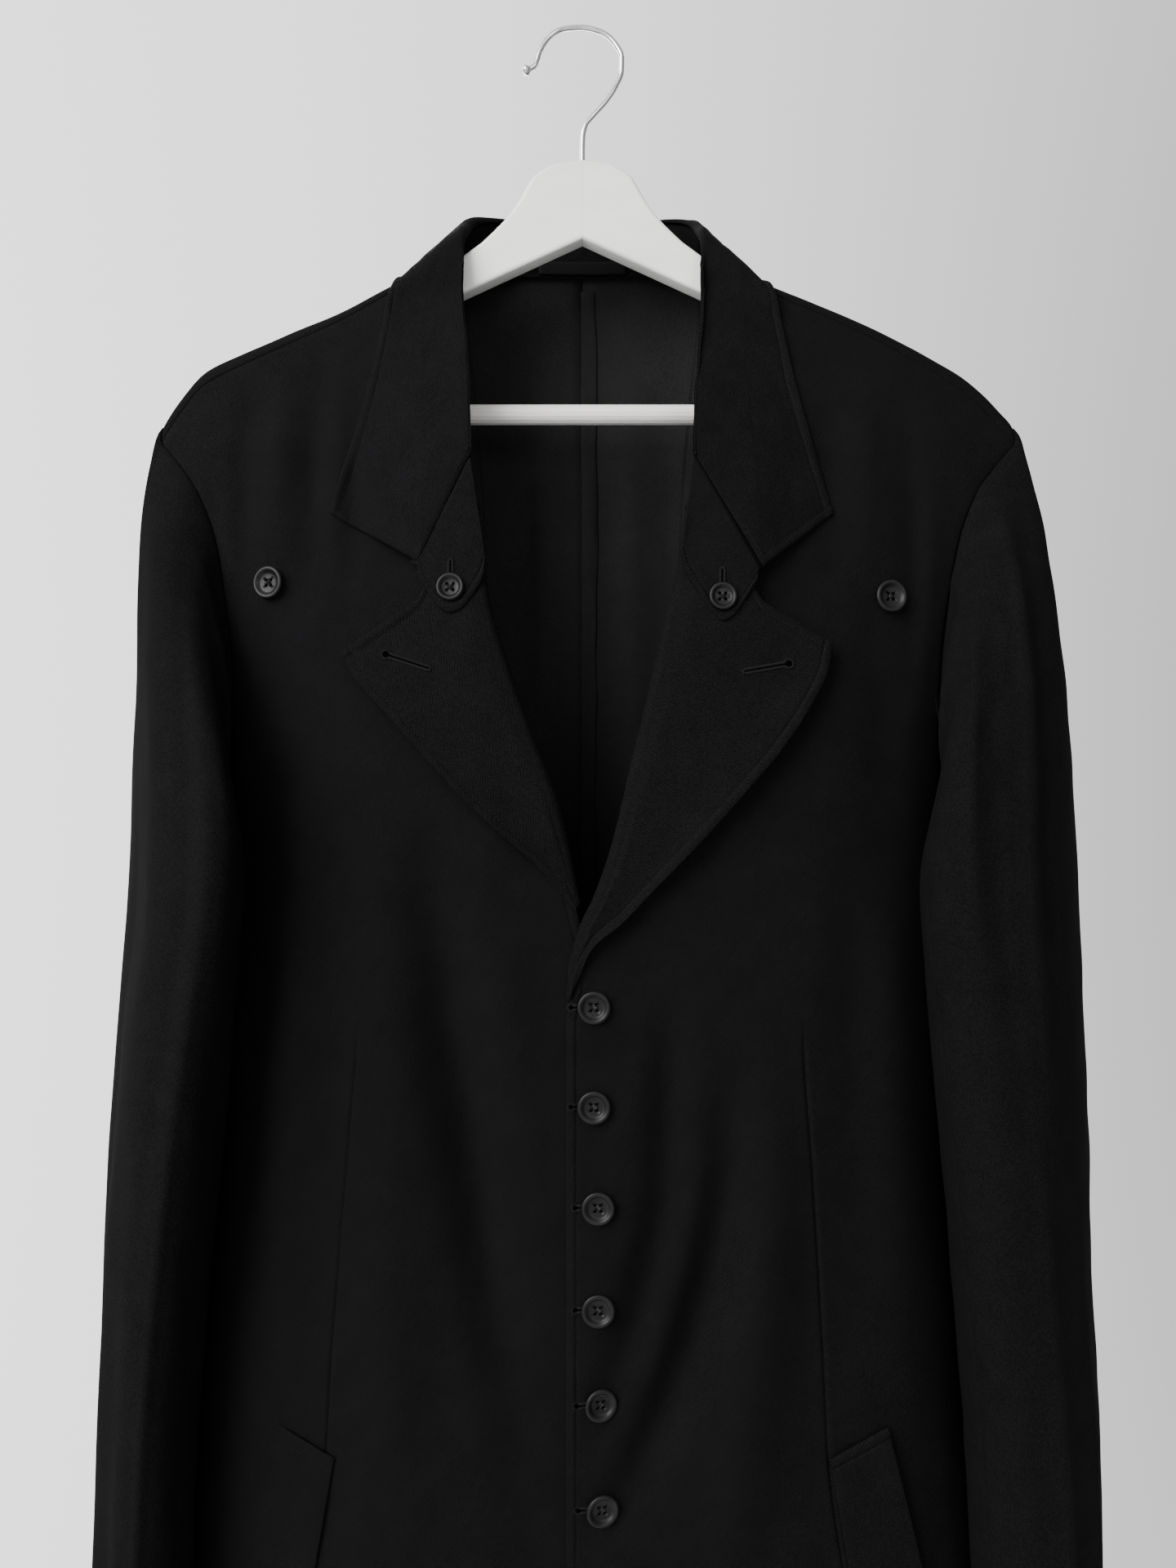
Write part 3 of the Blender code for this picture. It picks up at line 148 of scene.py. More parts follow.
# Back neckline: station on the collar, distance, height
BACK_NECK = mm((
    (0.0, 0, -117), (1.0, 28, -117.6), (2.0, 52, -120.8), (3.0, 67, -127), (4.0, 74.5, -134.4),
), plain=(0,))
NECK_SHARES = (0.0, 0.12, 0.24, 0.36, 0.48, 0.58, 0.68, 0.76, 0.83, 0.89, 0.94, 0.975)
# Tab outline: its foot from the roll side round the tip to the notch: distance, height
TAB_TOP_Z = -0.2640
TAB_DIMPLE = 0.0085     # reach of the hollow that a tab's button draws in
TAB_FOOT = {
    -1: mm((
        (51.8, -320.6), (52.8, -329), (57, -337.8), (64.4, -347.4), (69.6, -349), (74.2, -347.2),
        (79.6, -340.8), (85, -332), (86.8, -329),
    )),
    1: mm((
        (53.2, -318), (55, -325.6), (59.3, -334.6), (64.5, -342.8), (69.3, -349.2), (74.5, -353.8),
        (79, -351.8), (85.8, -343.5), (93, -332.2),
    )),
}
# Pocket welt corners: distance and height
WELT = mm((
    (132.2, -799.5), (163.5, -784.5), (160, -960), (200, -944),
))
# Front dart: height, distance at the left, at the right
DART = mm((
    (-525, 118, 118.6), (-569, 120.3, 119.2), (-660, 128, 125.4), (-762, 135.5, 130.8),
    (-800, 137.5, 132.6), (-960, 160, 160),
))
DART_COLUMN = 0.60
# Sleeves: height, centre x and y, long and short half-axes, turn in degrees
SLEEVES = {
    -1: mm((
        (-500, 222.8, -28, 76, 27, 27.0), (-600, 230.7, -24, 73, 31, 22.0),
        (-700, 238, -24, 67, 29.2, 19.0), (-800, 242.6, -26, 61, 27, 17.0),
        (-912, 244, -30, 57, 26.8, 15.0),
    ), plain=(5,)),
    1: mm((
        (-500, 235, -28, 72, 39.5, 27.0), (-600, 241, -24, 69, 39.8, 22.0),
        (-700, 246.8, -24, 64, 37.6, 19.0), (-800, 252, -26, 59, 36.7, 17.0),
        (-912, 253.8, -30, 55, 35.2, 15.0),
    ), plain=(5,)),
}
HEAD_Z = -0.500
SLEEVE_SPACE = 0.0060
CLEAR_FROM_Z, CLEAR_FULL_Z = -0.380, -0.430
LOOP_TOP = 0.10
FORESEAM, HINDSEAM = 0.36, 0.70

# Folds of the body: x and z at the top, x midway, x and z below, width, depth
FOLDS = {
    "front_left": mm((
        (-83, -440, -60, -14, -830, 16, -17.5), (-112, -500, -104, -60, -950, 20, 6),
        (-165, -300, -170, -172, -520, 14, -3.5), (-75, -820, -85, -100, -1300, 24, -7.5),
        (-175, -780, -190, -205, -1300, 24, -8),
    )),
    "front_right": mm((
        (46, -545, 42, 2, -800, 10, -10.6), (80, -585, 66, 8, -850, 13, -15.2),
        (104, -560, 92, 62, -950, 18, 6), (160, -300, 166, 165, -540, 14, -4),
        (70, -830, 78, 85, -1300, 24, -7.5), (180, -800, 195, 210, -1300, 24, -8),
    )),
    "back_left": mm((
        (-62, -180, -70, -75, -600, 18, -4), (-60, -620, -75, -90, -1300, 26, -8),
        (-150, -560, -165, -185, -1300, 26, -8.5),
    )),
    "back_right": mm((
        (26, -130, 30, 38, -560, 10, -5.8), (110, -220, 112, 110, -620, 20, -4),
        (70, -640, 85, 100, -1300, 26, -8), (155, -560, 172, 195, -1300, 26, -8.5),
    )),
}
# Finer creases, same columns
CREASES = {
    "front_left": mm((
        (-189.4, -205, -188.5, -184, -360, 9, -4.8), (-170, -195, -169.5, -166, -350, 8.5, 3),
        (-149, -185, -149.3, -149, -340, 8.5, -4.2), (-136.5, -185, -136, -135, -320, 6.5, 2),
        (-125.5, -215, -125, -126, -360, 7.5, -2.4), (-208, -255, -206, -198, -340, 6, -1.6),
        (-156, -400, -160, -166, -760, 14, 3.4), (-178, -440, -185, -194, -900, 12.5, -4),
        (-132, -430, -133, -136, -640, 11, -1.4), (-50, -560, -40, -22, -720, 9, -2),
        (-60, -700, -50, -40, -900, 12, 1.8), (-85, -700, -86, -90, -1060, 13, -2),
        (-146, -820, -150, -158, -1300, 15, 3.5),
    )),
    "front_right": mm((
        (136, -190, 138, 138, -340, 8.5, -2.4), (158, -205, 160, 158, -330, 8, 1.4),
        (180, -215, 184, 178, -400, 8.5, -3.2), (195, -245, 193, 184, -400, 6, 1.2),
        (145, -430, 148, 152, -760, 12.5, -3.6), (168, -440, 174, 184, -840, 13, 2.2),
        (60, -545, 54, 26, -690, 7, 1.8), (30, -560, 30, 16, -640, 6, 1.2),
        (90, -780, 95, 104, -1100, 13, -1.8), (140, -820, 145, 150, -1300, 15, 3.2),
    )),
    "back_left": mm((
        (-20, -130, -22, -26, -420, 7, -3.2), (-34, -145, -36, -40, -460, 8, 4.2),
        (-100, -180, -110, -112, -560, 14, 2.8), (-150, -230, -150, -130, -420, 10, -2.2),
        (-120, -560, -130, -140, -980, 14, 2.6),
    )),
    "back_right": mm((
        (11, -140, 12, 18, -420, 5.5, 4.2), (52, -130, 55, 60, -460, 8, 1.8),
        (84, -150, 86, 88, -460, 9, -3.2), (150, -230, 150, 130, -420, 10, -2),
        (120, -620, 128, 140, -980, 14, 2.6),
    )),
}
# Folds of the sleeves: turn and z at the top, turn and z below, width in turns, depth
SLEEVE_FOLDS = {
    -1: mm((
        (0.04, -300, 0.03, -930, 0.02, -2.4), (0.115, -260, 0.11, -640, 0.03, 2.2),
        (0.19, -300, 0.18, -720, 0.024, -2.6), (0.24, -340, 0.236, -930, 0.016, 2),
        (0.13, -620, 0.125, -930, 0.026, -2.2), (0.08, -560, 0.076, -930, 0.02, 2),
        (0.9, -330, 0.89, -760, 0.022, -3), (0.82, -400, 0.81, -930, 0.02, 2.8),
    ), plain=(0, 2, 4)),
    1: mm((
        (0.15, -235, 0.156, -660, 0.014, 4.6), (0.105, -250, 0.112, -640, 0.022, -3.4),
        (0.262, -285, 0.25, -540, 0.012, 3.2), (0.215, -300, 0.205, -620, 0.02, -2.2),
        (0.185, -470, 0.18, -930, 0.016, 3), (0.1, -610, 0.105, -930, 0.02, 2.8),
        (0.02, -560, 0.025, -930, 0.024, -3), (0.236, -600, 0.232, -930, 0.018, -1),
        (0.9, -330, 0.88, -700, 0.022, -3), (0.83, -420, 0.82, -930, 0.02, 2.8),
    ), plain=(0, 2, 4)),
}
# How far the sleeve's front hangs over the body: height, at the left, at the right
SLEEVE_COVER = mm((
    (-290, 0, 0), (-330, 5, 6), (-375, 11, 12), (-420, 14, 15.5), (-470, 10, 12), (-530, 3, 7.5),
    (-620, 1.2, 6.5), (-760, 1, 5), (-912, 1, 3),
))
COVER_TURN, COVER_WIDTH = 0.34, 0.13

# Buttons: name, x, z, diameter, height of the foot above the front's form
BUTTONS = mm((
    ("button_front_1", 6.5, -558.4, 17.8, 1), ("button_front_2", 6.5, -611.5, 17.8, 1),
    ("button_front_3", 8.7, -665, 17.8, 1), ("button_front_4", 8.7, -719, 17.8, 1),
    ("button_front_5", 9.6, -769.9, 17.8, 1), ("button_front_6", 10.4, -824.8, 17.8, 1),
    ("button_chest_left", -171.7, -328.9, 18, 1), ("button_chest_right", 169.3, -336.6, 18, 1),
    ("button_tab_left", -69.7, -335.4, 15, 7.6), ("button_tab_right", 74.4, -340.7, 15, 8.8),
), plain=(0,))
# Button profile: share of the radius, share of the thickness
PROFILE = (
    (0.0, 0.3), (0.3, 0.29), (0.52, 0.31), (0.6, 0.36), (0.66, 0.48), (0.72, 0.66), (0.79, 0.8),
    (0.86, 0.86), (0.93, 0.82), (0.98, 0.7), (1.0, 0.55), (0.985, 0.4), (0.93, 0.22), (0.8, 0.08),
    (0.6, 0.0), (0.0, 0.0),
)
BUTTON_THICK = 0.0034
HOLE_PLACE = 0.00155    # from the button's middle to a hole, across and along
HOLE_RADIUS = 0.00085
BUTTON_SIDES, HOLE_SIDES, THREAD_SIDES, SATIN_SIDES, WIRE_SIDES = 64, 20, 6, 5, 20
THREAD_RADIUS, THREAD_SHIFT = 0.00024, 0.00022
THREAD_RISE = 0.001 * np.array((-1.0, 1.1, 1.5, 1.6, 1.5, 1.1, -1.0))
THREAD_CROSSED = (((-1, -1), (1, 1)), ((-1, 1), (1, -1)))
THREAD_UPRIGHT = (((-1, -1), (-1, 1)), ((1, -1), (1, 1)))

# Grids of the panels
FRONT_TOP_Z = -0.1350
FRONT_WIDTH = 0.21
DART_NEAR = 0.001 * np.array((-3.4, -2.2, -1.3, -0.7, -0.3, 0.0, 0.3, 0.7, 1.3, 2.2, 3.4))
BACK_TURN_Z = -0.470
# Rows of the back over the ridge: face, share of the way to the shoulder seam
WRAP_PARTS = (0.02, 0.07, 0.16, 0.28, 0.42, 0.6, 0.8, 1.0)
WRAP = [(-1, part) for part in reversed(WRAP_PARTS)] + [(1, part) for part in WRAP_PARTS[:6]]
SEAMED = {"top": "seam", "left": "seam", "right": "seam", "low": "plain"}

# A stitch: share of its length, size, rise in radii
STITCH = ((0.0, 0.25, -0.9), (0.18, 0.85, 0.1), (0.5, 1.0, 0.35), (0.82, 0.85, 0.1), (1.0, 0.25, -0.9))
STITCH_PITCH, STITCH_GAP, STITCH_RADIUS, STITCH_SINK = 0.0023, 0.0005, 0.00020, 0.00006
STITCH_LINE = 0.0054    # from a border to its stitching
# A satin stitch: share of its reach, size, rise in radii
SATIN = ((-0.1, 0.5, -0.2), (0.15, 1.0, 0.9), (0.6, 1.0, 1.0), (0.9, 0.8, 0.6), (1.05, 0.4, -0.4))
SATIN_SPACING, SATIN_RADIUS, SATIN_REACH = 0.00062, 0.00036, 0.0014
# Buttonholes: piece, bar end, eye (distance and height), radius of the eye
BUTTONHOLES = (
    ("lapel_left", (0.0812, -0.3781), (0.1046, -0.3703), 0.0018),
    ("lapel_right", (0.0865, -0.3798), (0.1104, -0.3754), 0.0018),
    ("tab_left", (0.0701, -0.3200), (0.0700, -0.3296), 0.0008),
    ("tab_right", (0.0750, -0.3249), (0.0750, -0.3346), 0.0008),
)
SLIT_HALF = 0.00045

# Hanger
HANGER_THICK = 0.013
HANGER_EDGE = 0.0022
HANGER_LOW = 0.2225
HANGER_CLEAR = 0.0014
SHOULDER_REACH = (0.0745, 0.2160)    # where the hanger follows the shoulders
SHOULDER_WALL = 0.0020
APEX_Z = -0.1239
UNDER_SLOPE = 0.46
END_Z = -0.2370
ARM_FOOT = 0.1720
# Outline of the hanger's head, and the wire's route: distance, height
HEAD = mm((
    (0, -78.1), (15.6, -80.4), (22.6, -83.8), (28.5, -88), (32.1, -93.9), (36.8, -102.2), (42.7, -110.4),
    (50, -118.2), (58, -125.8),
))
HOOK = mm((
    (-34.8, -24.2), (-27.8, -20.5), (-24.6, -12), (-19, -3.5), (-10.5, 0.9), (-0.5, 1.6), (10, -0.6),
    (18.5, -7), (23, -16), (22.8, -24), (19.5, -32.5), (13.5, -41.5), (6.8, -49), (2, -55), (0.3, -62),
    (0, -70), (0, -77.6),
))
# Wire tip: distance along the wire, radius
TIP = mm(((0, 0.3), (0.3, 1.65), (1, 2.64), (2.2, 3), (3.4, 2.58), (4.2, 1.68), (4.8, 1.5), (6, 1.5)))
TIP_LENGTH = 0.0046
WIRE_RADIUS = 0.0015

# Brightness of the surroundings from the left (0) round to the right (1)
WORLD_SHADES = ((0.0, 0.60), (0.28, 1.0), (0.46, 0.80), (0.72, 0.38), (1.0, 0.24))


# Lines, vectors and soft steps

def curve(rows, key, value, at):
    """A smooth curve through two columns of a table, read at one or more keys."""
    xs, ys = np.array(sorted([row[key], row[value]] for row in rows)).T
    run = np.diff(xs)
    slope = np.diff(ys) / run
    same = slope[:-1] * slope[1:] > 0.0
    total = np.where(same, slope[:-1] + slope[1:], 1.0)
    middle = np.where(same, 2.0 * slope[:-1] * slope[1:] / total, 0.0)
    tangent = np.concatenate([slope[:1], middle, slope[-1:]])
    at = np.asarray(at, dtype=float)
    cell = np.clip(np.searchsorted(xs, at) - 1, 0, len(xs) - 2)
    width = run[cell]
    t = np.clip((at - xs[cell]) / width, 0.0, 1.0)
    low = ys[cell] * (1.0 + 2.0 * t) * (1.0 - t) ** 2 + tangent[cell] * width * t * (1.0 - t) ** 2
    high = ys[cell + 1] * t * t * (3.0 - 2.0 * t) - tangent[cell + 1] * width * t * t * (1.0 - t)
    return low + high


def sided(table, side, at):
    """A curve through a table whose second column is the left's and third the right's."""
    return curve(table, 0, 1 if side < 0 else 2, at)


def path(table, at):
    """Smooth curves through all columns, read at the rows' numbers and between them."""
    rows = [(i, *row) for i, row in enumerate(table)]
    return [curve(rows, 0, k, at) for k in range(1, len(rows[0]))]


def smooth(edge0, edge1, value):
    """A smooth step from 0 to 1."""
    t = np.clip((value - edge0) / (edge1 - edge0), 0.0, 1.0)
    return t * t * (3.0 - 2.0 * t)


def join(*parts):
    """Vectors from their components."""
    return np.stack(np.broadcast_arrays(*parts), axis=-1)


def unit(vectors):
    """Vectors brought to length 1."""
    return vectors / np.maximum(np.linalg.norm(vectors, axis=-1, keepdims=True), 1.0e-12)


def facing(vectors, toward):
    """Vectors turned to the side of others."""
    return vectors * np.where(np.sum(vectors * toward, axis=-1, keepdims=True) < 0.0, -1.0, 1.0)


def distances(points):
    """Distance along a line to each of its points."""
    return np.concatenate([[0.0], np.cumsum(np.linalg.norm(np.diff(points, axis=0), axis=-1))])


def read_at(at, length, points):
    """Points at distances along a line."""
    return join(*(np.interp(at, length, column) for column in points.T))


def drift(a, b, seed, scale=1.0):
    """A soft, uneven field between about -1 and 1 over two lengths in metres."""
    source = np.random.default_rng(seed)
    total = 0.0
    for _ in range(6):
        ka, kb = source.normal(0.0, 130.0, 2) / scale
        total = total + np.sin(ka * a + kb * b + source.uniform(0.0, 6.28)) / 2.6
    return total


# The body's form

def ridge_z(x):
    """Height of the shoulder ridge at a signed distance from the middle."""
    return np.where(x < 0.0, sided(RIDGE, -1, np.abs(x)), sided(RIDGE, 1, np.abs(x)))


def half_width(z):
    """Half the body's width at a height."""
    return curve(SECTIONS, 0, 1, z)


def fold_depth(folds, x, z):
    """How far folds push a panel outward."""
    total = np.zeros(np.broadcast(x, z).shape)
    for x_top, z_top, x_mid, x_low, z_low, width, depth in folds:
        part = np.clip((z_top - z) / (z_top - z_low), 0.0, 1.0)
        bend = x_mid - 0.5 * (x_top + x_low)
        line = x_top + (x_low - x_top) * part + 4.0 * bend * part * (1.0 - part)
        reach = 0.5 if z_low < HEM_Z else 1.0
        total = total + depth * np.sin(math.pi * reach * part) * np.exp(-((x - line) / width) ** 2)
    return total


def half_depth(panel, x, z):
    """Depth of the cloth's outer face from the plane of the hanger."""
    x, z = np.asarray(x, dtype=float), np.asarray(z, dtype=float)
    front = panel.startswith("front")
    full = curve(SECTIONS, 0, 2 if front else 3, z)
    drop = np.maximum(ridge_z(x) - z, 0.0)
    rounded = 1.0 - np.minimum(drop / RIDGE_RISE, 1.0)
    ridge = RIDGE_HALF * (1.0 - rounded ** RIDGE_POWER) ** (1.0 / RIDGE_POWER)
    slope = 1.0 - (1.0 - np.minimum(drop / SLOPE_DROP, 1.0)) ** 2
    depth = ridge + (full - RIDGE_HALF) * slope
    if not front:
        neck = np.sqrt(np.maximum(1.0 - (x / NECK_REACH) ** 2, 0.0))
        depth = full * (1.0 - (1.0 - depth / full) * (1.0 - 0.955 * neck))
    across = np.sqrt(1.0 - np.minimum(np.abs(x) / half_width(z), 1.0) ** SIDE_POWER)
    folds = fold_depth(FOLDS[panel], x, z) * slope
    folds = folds + fold_depth(CREASES[panel], x, z) * smooth(0.0, 0.02, drop)
    depth = (depth + folds) * across
    if panel == "front_left":
        tuck = smooth(TUCK_START, TUCK_END, x)
        depth = depth + (half_depth("front_right", x, z) - TUCK_BELOW - depth) * tuck
    return depth


def skin(panel, x, z):
    """Points on a panel's outer face."""
    depth = half_depth(panel, x, z)
    return join(x, -depth if panel.startswith("front") else depth, z)


def skin_normal(panel, x, z, step=4.0e-4):
    """Outward normals of a panel's outer face."""
    dx = (half_depth(panel, x + step, z) - half_depth(panel, x - step, z)) / (2.0 * step)
    dz = (half_depth(panel, x, z + step) - half_depth(panel, x, z - step)) / (2.0 * step)
    return unit(join(-dx, -1.0 if panel.startswith("front") else 1.0, -dz))


def under(panel, x, z, depth):
    """Points at a depth below a panel's outer face."""
    return skin(panel, x, z) - np.asarray(depth)[..., None] * skin_normal(panel, x, z)


def grid_normal(grid, toward):
    """Normals of a grid of points from its neighbours, on the side of the given ones."""
    return facing(unit(np.cross(np.gradient(grid, axis=0), np.gradient(grid, axis=1))), toward)


FINE = 0.001 * np.array((0.0, 0.35, 0.8, 1.4, 2.1, 2.9, 3.7, 4.4, 4.9, 5.3, 5.7, 6.1, 6.7, 7.6, 9.0))


def shares(length, count, low=True, high=True):
    """Shares 0 to 1 along a length, finer near the chosen ends."""
    fine = FINE[FINE < 0.42 * length] / length
    start = fine if low else np.zeros(1)
    end = 1.0 - fine[::-1] if high else np.ones(1)
    return np.concatenate([start, np.linspace(start[-1], end[0], count)[1:-1], end])


# Cloth walls

def border_distances(grid):
    """Distances in metres from each point to the grid's first and last row and column."""
    top = np.pad(np.cumsum(np.linalg.norm(np.diff(grid, axis=0), axis=-1), axis=0), ((1, 0), (0, 0)))
    left = np.pad(np.cumsum(np.linalg.norm(np.diff(grid, axis=1), axis=-1), axis=1), ((0, 0), (1, 0)))
    return {"top": top, "low": top[-1:] - top, "left": left, "right": left[:, -1:] - left}


def edge_relief(distance, kind, along):
    """Height of the cloth near a border: rounded off, puffed outside its stitching, pulled in at it."""
    round_off = 0.0009 * (1.0 - np.sqrt(1.0 - np.clip(1.0 - distance / 0.0012, 0.0, 1.0) ** 2))
    if kind == "plain":
        return -0.6 * round_off
    if kind == "seam":
        return -0.35 * round_off - 0.00030 * np.exp(-(distance / 0.0020) ** 2)
    uneven = 1.0 + 0.35 * np.sin(along * 420.0) * np.sin(along * 173.0 + 1.0)
    puff = 0.00042 * uneven * np.exp(-((distance - 0.0030) / 0.0019) ** 2)
    groove = -0.00050 * uneven * np.exp(-((distance - STITCH_LINE) / 0.0007) ** 2)
    return puff + groove - round_off


def placed(piece, slot, *nodes):
    """Puts a piece on the coat's one body and hides the CAD nodes it stands for; the slot is not used."""
    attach(piece, "root")
    if nodes:
        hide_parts(*nodes)
    return piece


def linked(name, data):
    """A new object in the scene."""
    made = bpy.data.objects.new(name, data)
    bpy.context.scene.collection.objects.link(made)
    return made


def evaluated(piece):
    """A mesh of an object as its modifiers or its curve make it."""
    graph = bpy.context.evaluated_depsgraph_get()
    return bpy.data.meshes.new_from_object(piece.evaluated_get(graph))


def shown(name, data, sharp=None):
    """A smooth object from a mesh."""
    data.shade_smooth()
    if sharp is not None:
        data.set_sharp_from_angle(angle=math.radians(sharp))
    return linked(name, data)


def mesh_piece(name, verts, faces, material, sharp=None):
    """An object from points and faces."""
    data = bpy.data.meshes.new(name)
    data.from_pydata(np.asarray(verts).tolist(), [], faces)
    data.materials.append(material)
    return shown(name, data, sharp)


def cloth(name, outer, toward, borders, nodes, material, thick=WALL, seed=0, slot="cloth", rough=0.00012,
          extra=0.0, inside_painted_light=None, grain=None):
    """A cloth wall from a grid of points: relief at its borders, a rim all round.
    Gives its outer face and the normals there."""
    far = border_distances(outer)
    left, top = far["left"], far["top"]
    border = np.minimum.reduce(list(far.values()))
    uneven = drift(left, top, seed) + 3.5 * drift(left, top, seed + 1, 3.5)
    relief = extra + rough * uneven * smooth(0.0, 0.006, border)
    for edge, kind in borders.items():
        relief = relief + edge_relief(far[edge], kind, left if edge in ("top", "low") else top)
    normal = unit(toward)
    outer = outer + relief[..., None] * normal
    inner = outer - (thick * (0.55 + 0.45 * smooth(0.0, 0.0012, border)))[..., None] * normal
    rows, columns = border.shape
    count = rows * columns
    index = np.arange(count).reshape(rows, columns)
    face = join(index[:-1, :-1], index[:-1, 1:], index[1:, 1:], index[1:, :-1]).reshape(-1, 4)
    rim = np.concatenate([index[0], index[1:, -1], index[-1, -2::-1], index[-2:0:-1, 0]])
    turn = np.roll(rim, -1)
    faces = np.concatenate([face, face[:, ::-1] + count, join(turn, rim, rim + count, turn + count)])
    i, j = rows // 2, columns // 2
    if np.cross(outer[i, j + 1] - outer[i, j], outer[i + 1, j] - outer[i, j]) @ normal[i, j] <= 0.0:
        faces = faces[:, ::-1]
    verts = np.concatenate([outer.reshape(-1, 3), inner.reshape(-1, 3)])
    piece = mesh_piece(name, verts, faces.tolist(), material)
    # The inner faces get the lighter wool copy: painted light for the shaded inside of the coat
    if inside_painted_light is not None:
        piece.data.materials.append(inside_painted_light)
        slots = np.zeros(len(faces), dtype=np.int32)
        slots[len(face):2 * len(face)] = 1
        piece.data.polygons.foreach_set("material_index", slots)
    uv = join(left, top)
    if grain is not None:
        cos, sin = math.cos(math.radians(grain)), math.sin(math.radians(grain))
        x, z = outer[..., 0], outer[..., 2]
        uv = join(x * cos + z * sin, z * cos - x * sin)
    uv = np.tile(uv.reshape(-1, 2), (2, 1)).astype(np.float32)
    loops = np.empty(len(piece.data.loops), dtype=np.int64)
    piece.data.loops.foreach_get("vertex_index", loops)
    piece.data.uv_layers.new(name="cloth").data.foreach_set("uv", uv[loops].ravel())
    placed(piece, slot, *nodes)
    return outer, normal


def parametric(name, surface, us, vs, borders, nodes, material, **more):
    """A cloth piece on a parametric surface."""
    u, v = np.meshgrid(us, vs, indexing="ij")
    return cloth(name, surface(u, v), ways_of(surface, u, v), borders, nodes, material, **more)


def ways_of(surface, u, v, step=1.0e-3):
    """Unscaled normals of a parametric surface."""
    along_u = surface(u + step, v) - surface(u - step, v)
    return np.cross(along_u, surface(u, v + step) - surface(u, v - step))


# Materials

def feed(tree, target, inputs):
    """Sets a shader node's inputs, or links them where a socket is given."""
    for key, value in inputs.items():
        if isinstance(value, bpy.types.NodeSocket):
            tree.links.new(value, target.inputs[key])
        else:
            target.inputs[key].default_value = value


def node(tree, kind, inputs, output=0, **settings):
    """Adds a shader node and gives one of its outputs."""
    made = tree.nodes.new("ShaderNode" + kind)
    for key, value in settings.items():
        setattr(made, key, value)
    feed(tree, made, inputs)
    return made.outputs[output]


def noise(tree, place, scale, detail, rough):
    """A noise between 0 and 1."""
    inputs = {"Vector": place, "Scale": scale, "Detail": detail, "Roughness": rough}
    return node(tree, "TexNoise", inputs, "Fac")


def blend(tree, share, first, second):
    """Two values mixed."""
    return node(tree, "Mix", {0: share, 2: first, 3: second}, data_type="FLOAT")


def ramp(tree, value, stops):
    """A colour ramp from (place, colour) stops."""
    made = tree.nodes.new("ShaderNodeValToRGB")
    elements = made.color_ramp.elements
    while len(elements) < len(stops):
        elements.new(0.5)
    for element, (place, colour) in zip(elements, stops):
        element.position = place
        element.color = (*colour, 1.0)
    feed(tree, made, {"Fac": value})
    return made.outputs["Color"]


def new_material(name):
    """An empty node material, its tree, its shader and the places its textures read."""
    material = bpy.data.materials.new(name)
    material.use_nodes = True
    tree = material.node_tree
    return material, tree, tree.nodes["Principled BSDF"], tree.nodes.new("ShaderNodeTexCoord").outputs


def wool(name, dark, light):
    """Fulled wool twill: uneven shade, diagonal weave, nap."""
    material, tree, shader, place = new_material(name)
    cloud = noise(tree, place["Object"], 60.0, 5.0, 0.65)
    fibre = noise(tree, place["Object"], 1100.0, 3.0, 0.65)
    turned = node(tree, "Mapping", {"Vector": place["UV"], "Rotation": (0.0, 0.0, math.radians(38.0))})
    weave = {"Vector": turned, "Scale": 0.314 / TWILL, "Distortion": 2.5, "Detail": 2.0,
             "Detail Scale": 2.0}
    weave = node(tree, "TexWave", weave, "Fac", wave_type="BANDS", bands_direction="X")
    shade = blend(tree, 0.26, blend(tree, 0.80, cloud, fibre), weave)
    height = blend(tree, 0.5, weave, fibre)
    feed(tree, shader, {
        "Base Color": ramp(tree, shade, ((0.34, dark), (0.66, light))),
        "Normal": node(tree, "Bump", {"Strength": 0.60, "Distance": 0.0004, "Height": height}),
        "Roughness": 0.92, "Specular IOR Level": 0.02, "Sheen Weight": 0.002, "Sheen Roughness": 0.45,
        "Sheen Tint": (0.55, 0.55, 0.58, 1.0),
    })
    return material


def simple(name, dark, light, roughness, scale, bump_mm=0.0, metallic=0.0, spread=0.06,
           stretch=(1.0, 1.0, 1.0), specular=0.5, joint=0.0):
    """A material whose shade and roughness vary with a noise, a thin joint down its middle where asked."""
    material, tree, shader, place = new_material(name)
    stretched = node(tree, "Mapping", {"Vector": place["Object"], "Scale": stretch})
    cloud = noise(tree, stretched, scale, 5.0, 0.6)
    colour = ramp(tree, cloud, ((0.28, dark), (0.75, light)))
    if joint > 0.0:
        across = node(tree, "SeparateXYZ", {0: place["Object"]})
        far = node(tree, "Math", {0: across}, operation="ABSOLUTE")
        line = node(tree, "Math", {0: far, 1: joint}, operation="LESS_THAN")
        colour = node(tree, "Mix", {0: line, 6: colour, 7: (0.36, 0.36, 0.35, 1.0)}, 2, data_type="RGBA")
    rough = node(tree, "MapRange", {"Value": cloud, "To Min": roughness - spread,
                                    "To Max": roughness + spread})
    feed(tree, shader, {"Base Color": colour, "Roughness": rough, "Metallic": metallic,
                        "Specular IOR Level": specular})
    if bump_mm > 0.0:
        bump = node(tree, "Bump", {"Strength": 0.5, "Distance": bump_mm * 0.001, "Height": cloud})
        feed(tree, shader, {"Normal": bump})
    return material


